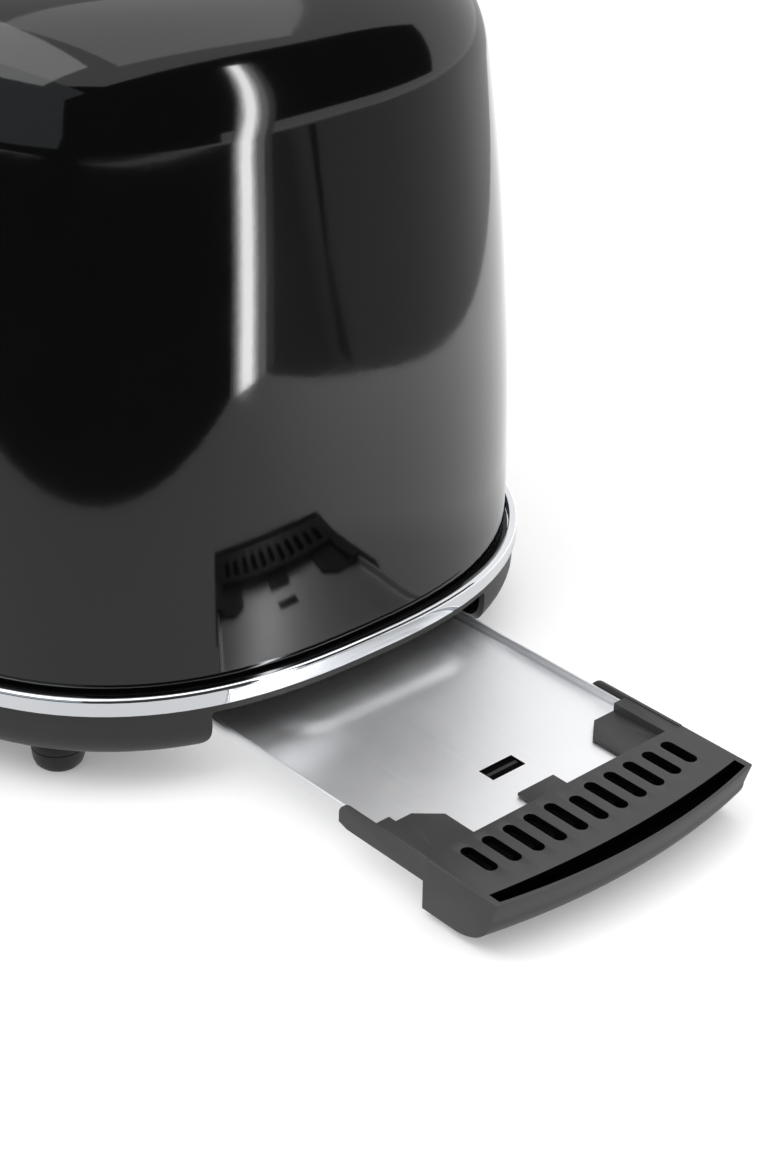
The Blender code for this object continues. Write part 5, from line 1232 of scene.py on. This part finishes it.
def across_y(tree):
    """0 at y = -0.2, 1 at y = 0.3, less close to the body, where it stands in its own shade."""
    split = tree.nodes.new("ShaderNodeSeparateXYZ")
    tree.links.new(coordinates(tree), split.inputs["Vector"])
    level = spread(tree, split.outputs["Y"], 0, 1, -0.2, 0.3)
    near = tree.nodes.new("ShaderNodeVectorMath")
    near.operation = "LENGTH"
    tree.links.new(coordinates(tree, (1 / HALF_LENGTH, 1 / HALF_WIDTH, 0)), near.inputs[0])
    return maths(tree, "MULTIPLY", level, spread(tree, near.outputs["Value"], 0.45, 1, 1.1, 1.6))


def around(tree):
    """The bearing about the origin, as a share of a turn."""
    turn = tree.nodes.new("ShaderNodeTexGradient")
    turn.gradient_type = "RADIAL"
    tree.links.new(coordinates(tree), turn.inputs["Vector"])
    return turn.outputs["Fac"]


def make_room():
    """What the gloss surfaces mirror: a dim room with a bright strip and a pale table."""
    dark = emitter("dark_room", (1, 1, 1), 0.045)
    haze = emitter("haze", (0.88, 0.96, 1), 0.42)
    stops = [(0.520, 0.27), (0.570, 0.17), (0.582, 0.34), (0.620, 0.40), (0.680, 0.60), (0.720, 0.75)]
    grey = glow("grey_room", stops, around)
    table = glow("pale_table", [(0.10, 0.75), (0.30, 0.80), (0.45, 0.90), (1.0, 1.80)], across_y)
    z = 0.0015
    sheets = [
        flat("room_table", [(-3, -3), (3, -3), (3, 3), (-3, 3)], z / 2, table),
        flat("room_near", [(0.440, 0.012), (3.6, 0.9), (3.2, -4.6), (-3.4, -3.83)], z, dark),
        flat("room_side", [(0.452, 0.075), (-2.0, 2.527), (1.2, 4.5), (3.9, 1.2)], z, grey),
        flat("room_stand", [(0.345, 0.186), (0.380, 0.196), (2.4, 1.55), (2.4, 1.45)], 2 * z, dark),
    ]
    low, high = [(1.20, -2.2, 0.25), (1.20, 2.2, 0.25)], [(0.85, 2.2, 1.30), (0.85, -2.2, 1.30)]
    sheets.append(sheet("room_sky", low + high, dark))
    low, high = [(1.10, -1.60, 0.25), (-0.90, -1.60, 0.25)], [(-0.90, -1.10, 1.60), (1.10, -1.10, 1.60)]
    sheets.append(sheet("room_haze", low + high, haze))
    sheets.append(
    sheet(
        "room_wall", [
            (-0.4, -7.8, 0), (7.7, 1.0, 0), (7.7, 1.0, 6.0), (-0.4, -7.8, 6.0)], dark))
    start = Vector((0.4330, 0.0240, 0.0010))
    along = Vector((0.1921, 0.9814, 0))
    rise = Vector((0, 0, 0.60)) + along * 0.128
    edges = (-0.0235, -0.0166, -0.0098, -0.0029, 0.0040, 0.0274, 0.0345, 0.0417, 0.0610, 0.0808)
    strengths = (0.8, 2.5, 6.0, 11.5, 16.5, 9.0, 4.5, 1.8, 0.5)
    for index, (near, far, strength) in enumerate(zip(edges, edges[1:], strengths)):
        low, high = start + along * near, start + along * far
        light = emitter(f"strip_light_{index + 1}", (1, 1, 1), strength)
        sheets.append(sheet(f"room_strip_{index + 1}", [low, high, high + rise, low + rise], light))
    for card in sheets:
        glossy_only(card)


def make_studio():
    scene = bpy.context.scene
    scene.view_settings.view_transform = "Standard"
    scene.view_settings.look = "None"
    world = bpy.data.worlds.new("studio")
    scene.world = world
    world.use_nodes = True
    background = world.node_tree.nodes["Background"]
    background.inputs["Color"].default_value = (1, 1, 1, 1)
    background.inputs["Strength"].default_value = 0.95
    floor = sheet("floor", [(-30, -30, 0), (30, -30, 0), (30, 30, 0), (-30, 30, 0)], floor_paper())
    make_room()
    for name, where, aim, size, power in (
        ("key_light", (-0.2, -0.9, 1.5), (0, 0, 0.08), (1.4, 1.0), 9.0),
        ("top_light", (0.05, 0.35, 1.8), (0.05, 0, 0), (1.6, 1.6), 8.0),
    ):
        light = bpy.data.lights.new(name, "AREA")
        light.shape = "RECTANGLE"
        light.size, light.size_y = size
        light.energy = power
        lamp = bpy.data.objects.new(name, light)
        lamp.location = where
        lamp.rotation_mode = "QUATERNION"
        lamp.rotation_quaternion = (Vector(aim) - Vector(where)).to_track_quat("-Z", "Y")
        lamp.visible_camera = False
        scene.collection.objects.link(lamp)


def make_camera():
    azimuth, elevation, roll = radians(47.61), radians(29.46), radians(1.01)
    back = Vector((sin(azimuth) * cos(elevation), -cos(azimuth) * cos(elevation), sin(elevation)))
    right = Vector((cos(azimuth), sin(azimuth), 0))
    up = back.cross(right)
    turned_right = right * cos(roll) + up * sin(roll)
    turned_up = up * cos(roll) - right * sin(roll)
    camera = bpy.data.cameras.new("camera")
    camera.lens = 72.53
    camera.sensor_width = 36
    camera.clip_start = 0.02
    camera.clip_end = 60
    obj = bpy.data.objects.new("camera", camera)
    rotation = Matrix((turned_right, turned_up, back)).transposed().to_4x4()
    obj.matrix_world = Matrix.Translation((0.50142, -0.34957, 0.33958)) @ rotation
    bpy.context.scene.collection.objects.link(obj)
    bpy.context.scene.camera = obj


make_camera()
make_shell()
make_ring()
make_skirt()
make_top()
make_feet()
make_gland()
make_screws()
make_control_panel()
make_marks()
make_knob()
make_buttons()
make_lever()
make_guides()
make_racks()
make_pan()
make_handle()
dress_nodes()
make_studio()
